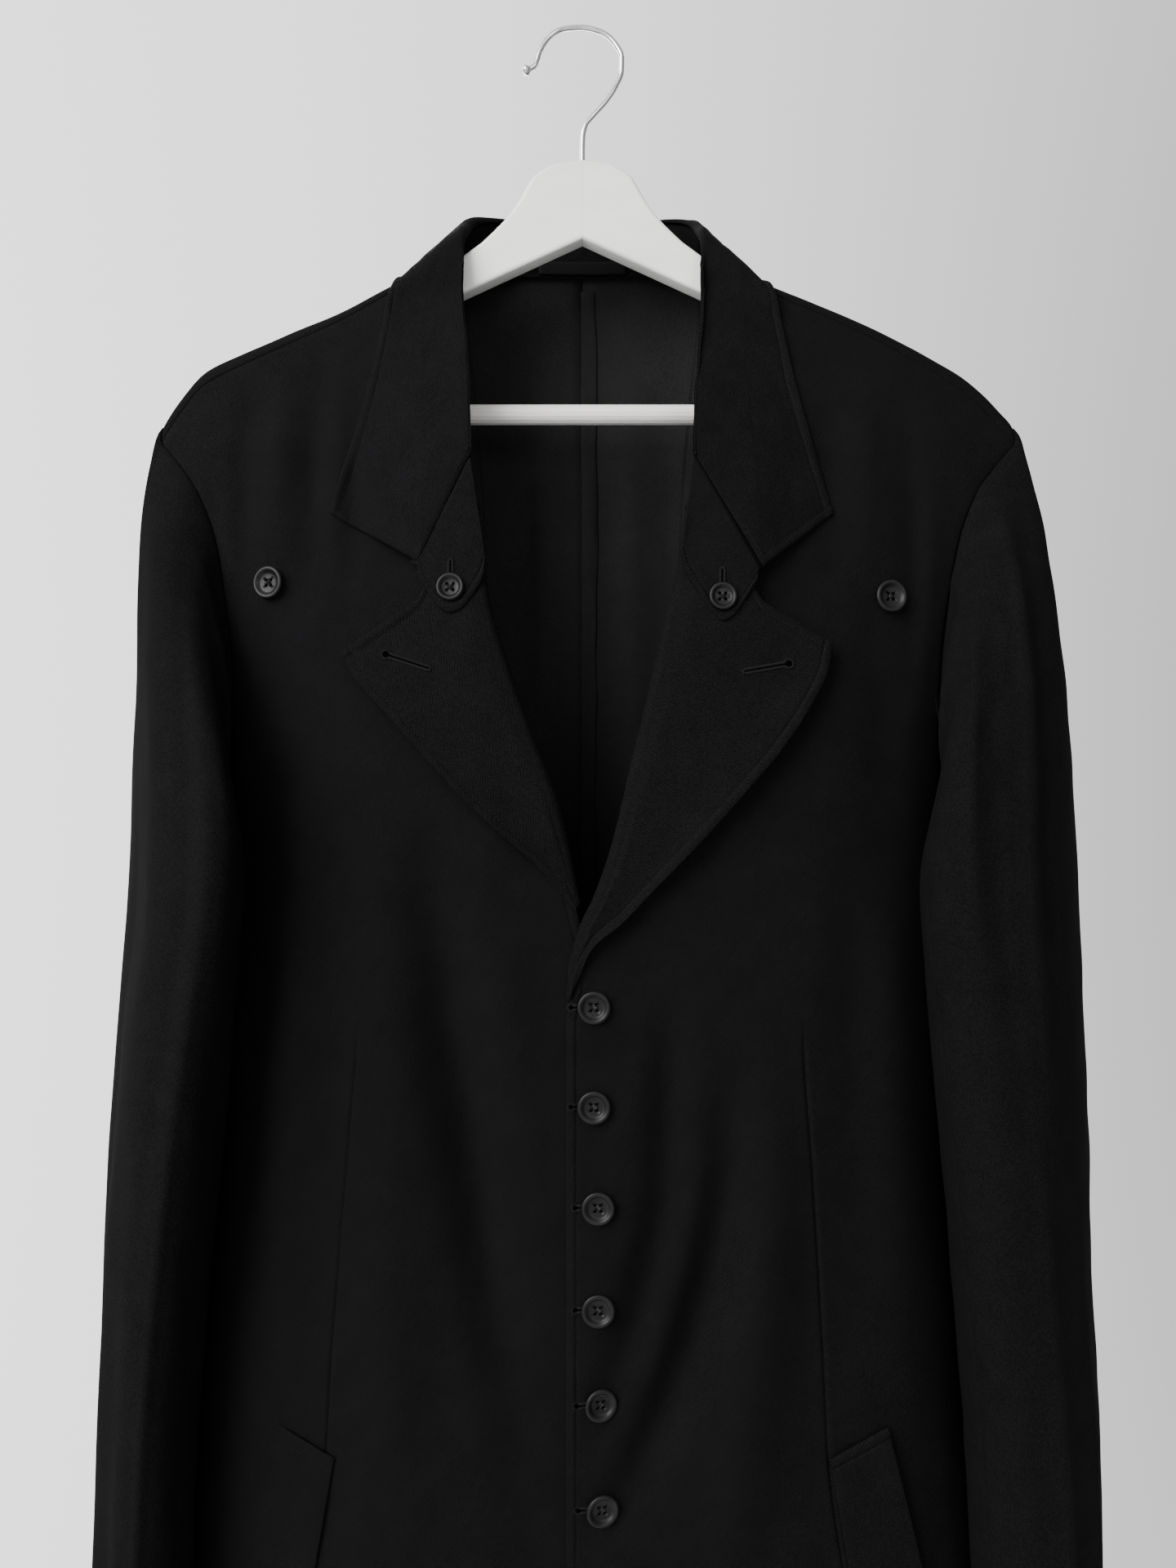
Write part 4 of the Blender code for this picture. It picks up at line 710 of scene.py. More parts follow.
WOOL = wool("wool_twill", (0.0008, 0.0008, 0.0009), (0.0046, 0.0046, 0.0050))
# Inner faces of the coat: the same wool painted about three times lighter, painted light that stands in
# for the light reaching into the hollow
WOOL_INSIDE_PAINTED_LIGHT = wool("wool_inside_painted_light", (0.0040, 0.0040, 0.0042), (0.0120, 0.0120, 0.0126))
THREAD = simple("thread", (0.0036, 0.0036, 0.0039), (0.0078, 0.0078, 0.0084), 0.80, 2500.0, 0.05,
                specular=0.03)
# Near-black sheet laid in each buttonhole's slit: painted shade standing in for the shadow in the gap
SLIT_PAINTED_SHADE = simple("slit_painted_shade", (0.0003, 0.0003, 0.0003), (0.0008, 0.0008, 0.0009), 0.95, 900.0,
              specular=0.0, spread=0.02)
BUTTON = simple("button_resin", (0.0028, 0.0028, 0.0031), (0.0056, 0.0053, 0.0053), 0.40, 160.0,
                specular=0.11)
BAND = simple("label_satin", (0.0017, 0.0017, 0.0018), (0.0034, 0.0034, 0.0036), 0.75, 700.0, 0.05,
              specular=0.05)
PAINT = simple("white_paint", (0.445, 0.445, 0.435), (0.515, 0.515, 0.505), 0.46, 60.0, 0.05,
               stretch=(0.4, 1.0, 1.0), joint=0.00016)
BAR_PAINT = simple("bar_white_paint", (0.37, 0.36, 0.35), (0.47, 0.46, 0.45), 0.48, 130.0, 0.12,
                   stretch=(0.08, 1.0, 1.0))
CHROME = simple("bright_wire", (0.40, 0.40, 0.41), (0.52, 0.52, 0.53), 0.17, 240.0, metallic=1.0,
                spread=0.05)
FLOOR = simple("floor_pale", (0.60, 0.60, 0.59), (0.66, 0.66, 0.65), 0.80, 6.0, 0.2)


# Body panels

def inner_x(side, z):
    """Distance of a front's cut edge."""
    return sided(ROLL, side, z) + curve(NECK_MARGIN, 0, 1, z)


def armhole_line(side, share):
    """Distance and height along the armhole, from the shoulder to the side seam."""
    own = LEFT_ARMHOLE if side < 0 else 1.0
    rows = [(x * own, z) for x, z in ARMHOLE] + [(float(half_width(UNDERARM_Z)), UNDERARM_Z)]
    return path(rows, np.asarray(share) * len(ARMHOLE))


def seam_drop(x):
    """How far the shoulder seam lies below the ridge."""
    return curve(SEAM_DROP, 0, 1, np.abs(x))


def outer_boundary(side, arm, body):
    """Distance and height down the armhole and on down the side seam, at two lists of shares."""
    arm_x, arm_z = armhole_line(side, arm)
    low_z = UNDERARM_Z + (HEM_Z - UNDERARM_Z) * body[1:]
    return np.concatenate([arm_x, half_width(low_z)]), np.concatenate([arm_z, low_z])


def top_fade(rows, arm_rows):
    """How much each row of a panel follows the panel's top edge, 1 at the top."""
    return (np.clip(1.0 - np.arange(rows) / (arm_rows - 1.0) / 0.9, 0.0, 1.0) ** 2)[:, None]


def front_lines(side):
    """Grid of distance and height of a front, and the number of its column along the dart."""
    arm, body = shares(0.25, 70, high=False), shares(0.81, 120, low=False)
    out_x, out_z = outer_boundary(side, arm, body)
    turn_z = BREAK_Z[side] + 0.09
    in_z = np.concatenate([FRONT_TOP_Z + (turn_z - FRONT_TOP_Z) * arm ** 1.1,
                           np.interp(body[1:], (0.0, 0.16, 1.0), (turn_z, BREAK_Z[side] - 0.012, HEM_Z))])
    in_x = inner_x(side, in_z)
    left = shares(DART_COLUMN * FRONT_WIDTH, 22, high=False) * DART_COLUMN
    near = DART_NEAR / FRONT_WIDTH + DART_COLUMN
    right = 1.0 - (1.0 - DART_COLUMN) * (1.0 - np.linspace(0.0, 1.0, 26)) ** 1.5
    left, right = left[left < near[0] - 0.004], right[right > near[-1] + 0.004]
    share = np.unique(np.concatenate([left, near, right]))
    dart_z = in_z + (out_z - in_z) * DART_COLUMN
    within = smooth(-0.40, -0.52, dart_z) * (1.0 - smooth(-0.96, -1.05, dart_z))
    here = (sided(DART, side, dart_z) - in_x) / (out_x - in_x)
    here = (DART_COLUMN + (here - DART_COLUMN) * within)[:, None]
    warped = np.where(share < DART_COLUMN, share * here / DART_COLUMN,
                      1.0 - (1.0 - share) * (1.0 - here) / (1.0 - DART_COLUMN))
    x = in_x[:, None] + (out_x - in_x)[:, None] * warped
    z = in_z[:, None] + (out_z - in_z)[:, None] * share
    seam = ridge_z(side * x[0]) - seam_drop(x[0])
    return x, z + top_fade(len(z), len(arm)) * (seam - z[0]), int(np.argmin(np.abs(share - DART_COLUMN)))


def build_front(side, label):
    """One front with its dart."""
    panel = "front_" + label
    x, z, column = front_lines(side)
    far = np.abs(x - x[:, column:column + 1]) * 0.98
    run = smooth(-0.560, -0.590, z) * (1.0 - smooth(-0.955, -0.985, z))
    groove = -0.00075 * np.exp(-(far / 0.0007) ** 2) + 0.00035 * np.exp(-((far - 0.0028) / 0.0018) ** 2)
    depth = 0.0018 * np.exp(-(far / 0.018) ** 2)
    borders = {"top": "seam", "left": "edge", "right": "seam", "low": "plain"}
    at = (side * x, z)
    # Inner faces in the lighter wool copy, painted light for the hollow
    return cloth("cloth_front_" + label, skin(panel, *at), skin_normal(panel, *at), borders, [panel], WOOL,
                 seed=3 + side, extra=(groove - depth) * run, inside_painted_light=WOOL_INSIDE_PAINTED_LIGHT, grain=0.0)


def back_lines(side):
    """Grid of distance and height of a back half, and which columns pass over the shoulder."""
    arm, body = shares(0.25, 60, low=False, high=False), shares(0.81, 90, low=False)
    out_x, out_z = outer_boundary(side, arm, body)
    neck_z, neck_x = BACK_NECK[0][2], BACK_NECK[-1][1]
    in_z = np.concatenate([neck_z + (BACK_TURN_Z - neck_z) * arm,
                           BACK_TURN_Z + (HEM_Z - BACK_TURN_Z) * body[1:]])
    arm_part = 1.0 - (1.0 - np.linspace(0.0, 1.0, 36)) ** 1.5
    top_x = np.concatenate([neck_x * np.array(NECK_SHARES), neck_x + (out_x[0] - neck_x) * arm_part])
    share = top_x / out_x[0]
    x = out_x[:, None] * share
    z = in_z[:, None] + (out_z - in_z)[:, None] * share
    over = x[0] >= neck_x - 1.0e-6
    top = np.where(over, ridge_z(side * x[0]), curve(BACK_NECK, 1, 2, x[0]))
    shift = (top - z[0]) * np.where(np.arange(len(z))[:, None] > 0, 1.0 - share ** 6, 1.0)
    return x, z + top_fade(len(z), len(arm)) * shift, over


def build_back(side, label):
    """A back half, its top rows wrapped over the ridge to the shoulder seam."""
    panel = "back_" + label
    x, z, over = back_lines(side)
    keep = over[:, None]
    tops, ways = [], []
    for index, (face, part) in enumerate(WRAP):
        use = "front_" + label if face < 0 else panel
        at = (side * x[0], z[0] - np.where(over, seam_drop(x[0]) * part, 0.00006 * index))
        tops.append(np.where(keep, skin(use, *at), skin(panel, *at)))
        ways.append(np.where(keep, skin_normal(use, *at), skin_normal(panel, *at)))
    at = (side * x[1:], z[1:])
    outer = np.concatenate([np.array(tops), skin(panel, *at)])
    toward = np.concatenate([np.array(ways), skin_normal(panel, *at)])
    # Inner faces in the lighter wool copy, painted light for the hollow
    cloth("cloth_back_" + label, outer, toward, SEAMED, [panel], WOOL, seed=7 + side, inside_painted_light=WOOL_INSIDE_PAINTED_LIGHT)


# Sleeves

def by_turn(build, side, turn, x, z):
    """The front panel's skin or normals for the first half turn, the back panel's for the second."""
    front, back = ("%s_%s" % (face, LABELS[side]) for face in ("front", "back"))
    return np.where((turn < 0.5)[..., None], build(front, x, z), build(back, x, z))


def armhole_loop(side, turn):
    """Points round the armhole. Turn 0 is the ridge, 0.25 the front, 0.5 the underarm."""
    turn = np.mod(turn, 1.0)
    share = np.where(turn < 0.5, turn, 1.0 - turn) * 2.0
    x, z = armhole_line(side, np.clip((share - LOOP_TOP) / (1.0 - LOOP_TOP), 0.0, 1.0))
    over = np.clip(share / LOOP_TOP, 0.0, 1.0)
    top_z = ridge_z(side * ARMHOLE[0][0] * (LEFT_ARMHOLE if side < 0 else 1.0))
    z = np.where(share < LOOP_TOP, top_z + (ARMHOLE[0][1] - top_z) * over ** 2, z)
    return by_turn(skin, side, turn, side * x, z)


def clear_of_body(x, y, z, space):
    """Distance and depth of a sleeve's points moved out of the body's section, grown by a clearance."""
    depth = np.where(y < 0.0, curve(SECTIONS, 0, 2, z), curve(SECTIONS, 0, 3, z)) + space
    far = (x / (half_width(z) + space)) ** 4
    deep = (y / depth) ** 2
    grow = np.sqrt((np.sqrt(deep * deep + 4.0 * far) - deep) / np.maximum(2.0 * far, 1.0e-9))
    grow = np.where(far + deep < 1.0, grow, 1.0)
    return x * grow, y * grow


def push_clear(side, point, space, share):
    """Moves points out of the body by a share of the way."""
    x, y = clear_of_body(side * point[..., 0], point[..., 1], point[..., 2], space)
    point[..., 0] += share * (side * x - point[..., 0])
    point[..., 1] += share * (y - point[..., 1])


def sleeve_ring(side, turn, z):
    """Points round the sleeve at a height, clear of the body."""
    x, y, long_axis, short_axis, lean = (curve(SLEEVES[side], 0, k, z) for k in range(1, 6))
    cos, sin = np.cos(np.radians(lean)), np.sin(np.radians(lean))
    out = short_axis * np.cos(2.0 * math.pi * turn)
    front = long_axis * np.sin(2.0 * math.pi * turn)
    x, y = clear_of_body(x + out * cos - front * sin, y - out * sin - front * cos, z, SLEEVE_SPACE)
    return join(side * x, y, z)


def sleeve_surface(side, turn, down):
    """The sleeve's outer face: turn round it, then 0 to 1 over the head, 1 to 2 down."""
    start, end = armhole_loop(side, turn), sleeve_ring(side, turn, np.full(turn.shape, HEAD_Z))
    angle = 2.0 * math.pi * turn
    upper = 0.5 + 0.5 * np.cos(angle)
    under_arm = (1.0 - upper) ** 4
    start[..., 0] += side * 0.0010 * under_arm
    leave = unit(join(side * (0.35 + 0.10 * upper + 0.55 * under_arm), -0.60 * np.sin(angle),
                      -0.30 - 0.60 * upper))
    drop = np.abs(start[..., 2:] - HEAD_Z)
    first = start + leave * (0.008 + 0.09 * drop + 0.022 * np.abs(np.sin(angle))[..., None])
    last = end + drop * (0.0, 0.0, 0.45)
    h = np.clip(down, 0.0, 1.0)[..., None]
    point = start * (1 - h) ** 3 + 3 * first * h * (1 - h) ** 2 + 3 * last * h * h * (1 - h) + end * h ** 3
    low = np.clip((CLEAR_FROM_Z - point[..., 2]) / (CLEAR_FROM_Z - CLEAR_FULL_Z), 0.0, 1.0)
    push_clear(side, point, SLEEVE_SPACE * np.clip(10.0 * h[..., 0], 0.0, 1.0), low)
    z = HEAD_Z + (CUFF_Z - HEAD_Z) * np.clip(down - 1.0, 0.0, 1.0)
    return np.where((down > 1.0)[..., None], sleeve_ring(side, turn, z), point)


def sleeve_folds(side, turn, z):
    """How far the folds push a sleeve outward."""
    total = np.zeros(turn.shape)
    for turn_top, z_top, turn_low, z_low, width, depth in SLEEVE_FOLDS[side]:
        part = np.clip((z_top - z) / (z_top - z_low), 0.0, 1.0)
        far = np.mod(turn - turn_top - (turn_low - turn_top) * part + 0.5, 1.0) - 0.5
        reach = 0.5 if z_low < CUFF_Z else 1.0
        total = total + depth * np.sin(math.pi * reach * part) * np.exp(-(far / width) ** 2)
    return total


def hung_sleeve(side, turn, down):
    """The sleeve as it hangs: over the body's side in front, its head eased into the arm."""
    point = sleeve_surface(side, turn, down)
    cover = sided(SLEEVE_COVER, side, point[..., 2]) * smooth(0.0, 0.14, down)
    cover = cover * np.exp(-((turn - COVER_TURN) / COVER_WIDTH) ** 2)
    point[..., 0] -= side * cover
    point[..., 1] -= 1.1 * cover
    push_clear(side, point, 0.0030, smooth(CLEAR_FROM_Z, CLEAR_FULL_Z, point[..., 2]))
    near = smooth(0.45, 0.85, down) * (1.0 - smooth(1.15, 1.45, down))
    for _ in range(60):
        middle = 0.5 * point[1:-1] + 0.25 * (point[:-2] + point[2:])
        point[1:-1] += near[1:-1, :, None] * (middle - point[1:-1])
    return point


def arm_outward(side, turn):
    """Directions out of the sleeve round its turn."""
    angle = 2.0 * math.pi * turn
    return join(side * np.cos(angle), -np.sin(angle), 0.2)


def build_sleeve(side, label):
    """Top and under sleeve."""
    downs = np.concatenate([shares(0.27, 60, high=False), 1.0 + shares(0.41, 70, low=False)[1:]])
    tops = HINDSEAM - 1.0 + (FORESEAM + 1.0 - HINDSEAM) * shares(0.16, 60)
    unders = FORESEAM + (HINDSEAM - FORESEAM) * shares(0.09, 30)
    for name, turns in (("sleeve_top_" + label, tops), ("sleeve_under_" + label, unders)):
        down, turn = np.meshgrid(downs, turns, indexing="ij")
        outer = hung_sleeve(side, turn, down)
        ease = 0.0012 * np.exp(-((down - 0.05) / 0.06) ** 2)
        ease = ease * np.clip(np.cos(2.0 * math.pi * turn), 0.0, 1.0)
        cloth("cloth_" + name, outer, grid_normal(outer, arm_outward(side, turn)), SEAMED, [name], WOOL,
              seed=11 + side, extra=sleeve_folds(side, turn, outer[..., 2]) + ease)


def build_armhole(side, label):
    """The turned allowance inside the armhole seam."""
    turns = np.linspace(0.0, 1.0, 181)
    down, turn = np.meshgrid((0.0, 0.03, 0.06), turns, indexing="ij")
    here, _, below = hung_sleeve(side, turn, down)
    ahead = unit(below - here)
    along = np.gradient(here, axis=0)
    along[0] = along[-1] = 0.5 * (along[0] + along[-1])
    cos = np.cos(2.0 * math.pi * turns)
    on_sleeve = unit(facing(np.cross(along, ahead), arm_outward(side, turns)))
    on_body = by_turn(skin_normal, side, turns, here[:, 0], here[:, 2])
    back = unit(facing(np.cross(along, on_body), join(-side * (0.7 + 0.5 * cos), 0.0, 0.5 * cos - 0.5)))
    u = np.linspace(-1.0, 1.0, 13)[None, :, None]
    part = smooth(-0.5, 0.5, u)
    normal = unit(on_body[:, None] * (1.0 - part) + on_sleeve[:, None] * part)
    outer = (here[:, None] + back[:, None] * 0.0052 * np.maximum(-u, 0.0)
             + ahead[:, None] * 0.0042 * np.maximum(u, 0.0) - 0.0022 * normal)
    cloth("cloth_armhole_allowance_" + label, outer, normal, {}, [], WOOL, thick=0.0007, seed=71 + side,
          rough=0.00005)


# Lapels, tabs, welts

def on_front(side, x, z, height):
    """Points at a height above a front's outer face, and the normals there; x is a distance."""
    panel = "front_" + LABELS[side]
    normal = skin_normal(panel, side * x, z, 1.5e-3)
    return skin(panel, side * x, z) + height[..., None] * normal, normal


def kinked(start, corner, end, bend, at):
    """Distance and height on a line from start to end that turns at a corner, at share bend."""
    return [np.interp(at, (0.0, bend, 1.0), values) for values in zip(start, corner, end)]


def rolled(outer, normal, side, radius, angles):
    """The points and normals of a roll that leads up to a grid's first column."""
    first, radius = normal[:, :1], radius[:, None, None]
    away = unit(side * np.cross(np.gradient(outer[:, 0], axis=0), normal[:, 0]))[:, None]
    rays = np.cos(angles)[:, None] * first + np.sin(angles)[:, None] * away
    return outer[:, :1] - first * radius + rays * radius, rays


def lapel_lines(side):
    """Grid of distance, height and shares of a lapel."""
    down = shares(0.24, 80, high=False)[:, None]
    across = np.unique(np.append(shares(0.09, 34, low=False), LAPEL_BEND))
    table = LAPEL_EDGE[side]
    roll_z = LAPEL_TOP + (LAPEL_END[side] - LAPEL_TOP) * down
    edge_z = table[0][0] + (table[-1][0] - table[0][0]) * down
    roll_x, edge_x = inner_x(side, roll_z), curve(table, 0, 1, edge_z)
    x = roll_x + (edge_x - roll_x) * across
    z = roll_z + (edge_z - roll_z) * across
    first, last = (x[0, 0], z[0, 0]), (x[0, -1], z[0, -1])
    kink_x, kink_z = kinked(first, LAPEL_NOTCH[side], last, LAPEL_BEND, across)
    fade = np.clip(1.0 - down / 0.5, 0.0, 1.0) ** 2
    return x + fade * (kink_x - x[0]), z + fade * (kink_z - z[0]), down, across


def build_lapel(side, label):
    """A lapel rolled back over its front, with the facing's turn behind the roll."""
    x, z, down, across = lapel_lines(side)
    arch = np.sin(math.pi * np.clip(down * 0.98 + 0.06, 0.0, 1.0))
    lift = sided(LAPEL_LIFT, side, across) + (0.0042 if side < 0 else 0.0046) * across ** 2.2 * arch
    edge_wave = np.sin(down * 31.0 + side) + 0.6 * np.sin(down * 57.0 + 2.0)
    lift = lift + 0.00045 * edge_wave * across ** 6 * arch
    lift = lift * (1.0 - smooth(0.80, 1.0, down)) + 0.0010 + WALL
    outer, normal = on_front(side, x, z, lift)
    radius = 0.5 * (lift[:, 0] + WALL) + 0.0008
    turned, rays = rolled(outer, normal, side, radius, np.radians(np.linspace(170.0, 8.0, 16)))
    borders = {"top": "edge", "right": "edge", "left": "plain", "low": "plain"}
    return cloth("cloth_lapel_" + label, np.concatenate([turned, outer], axis=1),
                 np.concatenate([rays, normal], axis=1), borders, ["lapel_" + label], WOOL, seed=21 + side,
                 grain=-34.0 * side)


def build_tab(side, label):
    """The collar stand's buttoned end, its top tucked under the fall."""
    tuck = np.array((-0.0050, -0.0025, -0.0010))[:, None]
    down, across = shares(0.07, 22, low=False)[:, None], shares(0.045, 18)
    foot = TAB_FOOT[side]
    foot_x, foot_z = path(foot, across * (len(foot) - 1.0))
    top_x = np.interp(across, (0.0, 1.0), (0.0600, foot[-1][0] + 0.001))
    top_z = np.interp(across, (0.0, 1.0), (TAB_TOP_Z, foot[-1][1] + 0.006))
    x = np.concatenate([top_x - 0.907 * tuck, top_x + (foot_x - top_x) * down])
    z = np.concatenate([top_z - 0.420 * tuck, top_z + (foot_z - top_z) * down])
    _, button_x, button_z, _, _ = BUTTONS[8 if side < 0 else 9]
    far = ((x - abs(button_x)) ** 2 + (z - button_z) ** 2) / TAB_DIMPLE ** 2
    height = tab_height(side) - 0.0009 * np.exp(-far)
    height[:3] += np.array((-0.0036, -0.0024, -0.0009))[:, None]
    borders = {"low": "edge", "right": "plain", "left": "plain"}
    return cloth("cloth_tab_" + label, *on_front(side, x, z, height), borders, ["tab_" + label], WOOL,
                 seed=31 + side, grain=-20.0 * side)


def build_welt(side, label):
    """The slanted welt over the pocket's mouth, the left one flatter."""
    down, across = shares(0.165, 34)[:, None, None], shares(0.037, 14)[:, None]
    top_in, top_out, low_in, low_out = (np.array(corner) for corner in WELT)
    inner = top_in * (1.0 - down) + low_in * down
    outer = top_out * (1.0 - down) + low_out * down
    grid = inner * (1.0 - across) + outer * across
    foot, open_out, top = (0.0007, 0.0003, "plain") if side < 0 else (0.0006 + WALL, 0.0048, "edge")
    lift = foot + open_out * across[:, 0] ** 2 * (0.45 + 0.55 * np.sin(math.pi * down[..., 0]))
    borders = {"top": top, "right": "plain", "left": "seam", "low": "plain"}
    return cloth("cloth_welt_" + label, *on_front(side, grid[..., 0], grid[..., 1], lift), borders,
                 ["welt_" + label], WOOL, seed=41 + side, grain=8.0 * side)


# Collar

def collar_frame(station):
    """Roll point, edge point and the fold's two directions, for the right half."""
    columns = path(COLLAR, station)
    ring = join(*path(COLLAR, station + 0.02)[:3]) - join(*path(COLLAR, station - 0.02)[:3])
    lean = np.radians(columns[6])
    up = join(-np.sin(lean), 0.0, np.cos(lean))
    return join(*columns[:3]), join(*columns[3:6]), up, unit(np.cross(up, ring))


def halves(station, build):
    """Points at signed stations from a function of the right half, the left ones mirrored."""
    return build(np.abs(station)) * join(np.where(station < 0.0, -1.0, 1.0), 1.0, 1.0)


def fall_share(across):
    """Share of the way from the fold to the fall's edge."""
    return np.clip((across - FOLD_SHARE) / (1.0 - FOLD_SHARE), 0.0, 1.0)


def fall_points(station, across, mirrored):
    """The collar fall's outer face, right half: across runs from inside the fold to the edge."""
    roll, edge, up, out = collar_frame(station)

    def round_fold(angle):
        return roll - up * COLLAR_FOLD + COLLAR_FOLD * (np.cos(angle) * up + np.sin(angle) * out)

    shoulder = round_fold(math.radians(48.0))
    angle = np.radians(-88.0 + 136.0 * np.clip(across / FOLD_SHARE, 0.0, 1.0))[..., None]
    flat = fall_share(across)
    bulge = COLLAR_BULGE * (1.0 - 0.6 * np.clip(station - 4.0, 0.0, 1.0)) * np.sin(math.pi * flat) ** 0.8
    spread = shoulder + (edge - shoulder) * flat[..., None] + out * bulge[..., None]
    point = np.where((across <= FOLD_SHARE)[..., None], round_fold(angle), spread)
    fade = np.clip((station - 6.0) / (len(COLLAR) - 7.0), 0.0, 1.0) ** 2
    seam, end = COLLAR[-1][:3:2], COLLAR[-1][3:6:2]
    left, right = (kinked(seam, COLLAR_NOTCH[side], end, COLLAR_BEND, flat) for side in LABELS)
    for axis, place in enumerate((0, 2)):
        line = seam[axis] + (end[axis] - seam[axis]) * flat
        point[..., place] += fade * (np.where(mirrored, left[axis], right[axis]) - line)
    return point


def clear_fall(point, station, across):
    """The collar fall's points pushed clear of the body and the tabs beneath them."""
    x, y, z = np.moveaxis(point, -1, 0)
    base = 0.0004 + COLLAR_WALL
    over_tab = np.where(station < 0.0, tab_height(-1), tab_height(1)) - 0.0007 - base
    near_seam = smooth(6.2, 8.7, np.abs(station)) * (1.0 - smooth(0.42, 0.95, fall_share(across)))
    lift = base + over_tab * near_seam + RIDGE_LIFT * np.exp(-(y / 0.020) ** 2)
    resting = across > 0.5 * FOLD_SHARE
    top_z = ridge_z(x) + lift
    half = RIDGE_HALF + lift
    crown = 1.0 - np.minimum(np.abs(y) / half, 1.0) ** RIDGE_POWER
    crown_z = top_z - (RIDGE_RISE + lift) * (1.0 - crown ** (1.0 / RIDGE_POWER))
    over = resting & (np.abs(y) < half) & (np.abs(x) > BACK_NECK[-1][1])
    z = np.where(over, np.maximum(z, crown_z), z)
    low = resting & (np.abs(y) >= half) & (z < top_z)
    front, back = (lift + np.where(x < 0.0, half_depth(face + "_left", x, z - lift),
                                   half_depth(face + "_right", x, z - lift)) for face in ("front", "back"))
    hug = smooth(4.8, 7.2, np.abs(station))
    y_front = np.minimum(y, -front) * (1.0 - hug) - front * hug
    y = np.where(low & (y < 0.0), y_front, np.where(low & (y > 0.0), np.maximum(y, back), y))
    return join(x, y, z)


def blurred(field, count):
    """A grid of vectors averaged with its neighbours a number of times."""
    for _ in range(count):
        middle = 0.5 * field[1:-1] + 0.25 * (field[:-2] + field[2:])
        field = np.concatenate([field[:1], middle, field[-1:]])
        middle = 0.5 * field[:, 1:-1] + 0.25 * (field[:, :-2] + field[:, 2:])
        field = np.concatenate([field[:, :1], middle, field[:, -1:]], axis=1)
    return field


def tab_height(side):
    """Height of a tab's outer face over its front."""
    return 0.0008 + 2.0 * WALL + float(sided(LAPEL_LIFT, side, 0.2))


def inside_back(station, down, depth):
    """Points inside the right back half, below the neckline by a distance, set in by a depth."""
    x, z = curve(BACK_NECK, 0, 1, station), curve(BACK_NECK, 0, 2, station) - down
    return under("back_right", x, z, depth)


def stand_surface(station, across):
    """The stand's inner face, from the neck seam up to the fall's fold."""
    def half(far):
        roll, _, up, out = collar_frame(far)
        top = roll - up * COLLAR_FOLD * 1.10 - out * (COLLAR_FOLD - 0.0020)
        low = inside_back(far, STAND_TUCK, WALL + 0.0006)
        return low + (top - low) * across[..., None]
    return halves(station, half)


def build_collar():
    """Fall and stand."""
    far = 9.0 * shares(0.26, 90, low=False)
    flat = np.append(shares(0.065, 26, low=False), COLLAR_BEND)
    across = np.append(np.linspace(0.0, FOLD_SHARE, 14)[:-1], FOLD_SHARE + (1.0 - FOLD_SHARE) * flat)
    station, across = np.meshgrid(np.append(-far[:0:-1], far), np.unique(across), indexing="ij")

    def surface(u, v):
        return halves(u, lambda own: fall_points(own, v, u < 0.0))

    point = surface(station, across)
    for count in (16, 10, 6, 3, 2):
        point = point + blurred(clear_fall(point, station, across) - point, count)
    flat = fall_share(across)
    ripple = np.zeros(station.shape)
    for at, width, depth in COLLAR_CREASES:
        ripple = ripple + depth * np.exp(-((station - at - 0.25 * flat) / width) ** 2)
    ripple = ripple * np.sin(math.pi * (flat * 0.86 + 0.04))
    border_far = border_distances(point)
    stitched = smooth(0.42, 0.56, flat)
    for border in ("top", "low"):
        for kind, part in (("edge", stitched), ("seam", 1.0 - stitched)):
            ripple = ripple + edge_relief(border_far[border], kind, border_far["left"]) * part
    fall = cloth("cloth_collar_fall", point, grid_normal(point, ways_of(surface, station, across)),
                 {"right": "edge", "left": "plain"}, ["collar_fall"], WOOL, thick=COLLAR_WALL, seed=51,
                 extra=ripple, rough=0.00020, grain=12.0)
    parametric("cloth_collar_stand", stand_surface, np.linspace(-3.9, 3.9, 61), np.linspace(0.0, 1.0, 12),
               {"top": "seam", "low": "plain"}, ["collar_stand"], WOOL, seed=52)
    return fall


def build_inside():
    """Back-neck facing, bare label and the centre seam's pressed allowance."""
    parametric("cloth_neck_facing", lambda s, d: halves(s, lambda own: inside_back(own, d, 0.0030)),
               np.linspace(-3.2, 3.2, 61), np.linspace(-0.0010, 0.0085, 12), {"right": "edge"},
               ["neck_facing"], WOOL, thick=0.0009, seed=61)
    parametric("label_band", lambda s, d: halves(s, lambda own: inside_back(own, d, 0.0042)),
               np.linspace(-1.0, 1.0, 31), np.linspace(-0.0016, 0.0068, 10), {}, ["label"], BAND,
               thick=0.0008, seed=62, slot="label", rough=0.00004)
    z = np.linspace(-0.1330, HEM_Z + 0.004, 240)[:, None]
    u = np.linspace(0.0, 1.0, 12)
    x = -0.0012 + (0.0096 + 0.0005 * np.sin(z * 60.0) + 0.0003 * np.sin(z * 143.0)) * u
    depth = WALL + 0.0009 + 0.0006 * np.sin(math.pi * np.clip((u - 0.1) * 1.1, 0.0, 1.0))
    # The allowance is in the lighter inside wool, painted light for the hollow inside the back
    cloth("cloth_seam_allowance", under("back_right", x, z, depth), -skin_normal("back_right", x, z),
          {"left": "plain", "right": "plain"}, [], WOOL_INSIDE_PAINTED_LIGHT, thick=0.0007, seed=63, rough=0.00025)


# Sewing

def tube(centres, first, second, size, sides):
    """Rings of points round centres, in the plane of two directions."""
    angle = 2.0 * math.pi * np.arange(sides)[:, None] / sides
    ring = np.cos(angle) * first[..., None, :] + np.sin(angle) * second[..., None, :]
    return centres[..., None, :] + np.asarray(size)[..., None, None] * ring


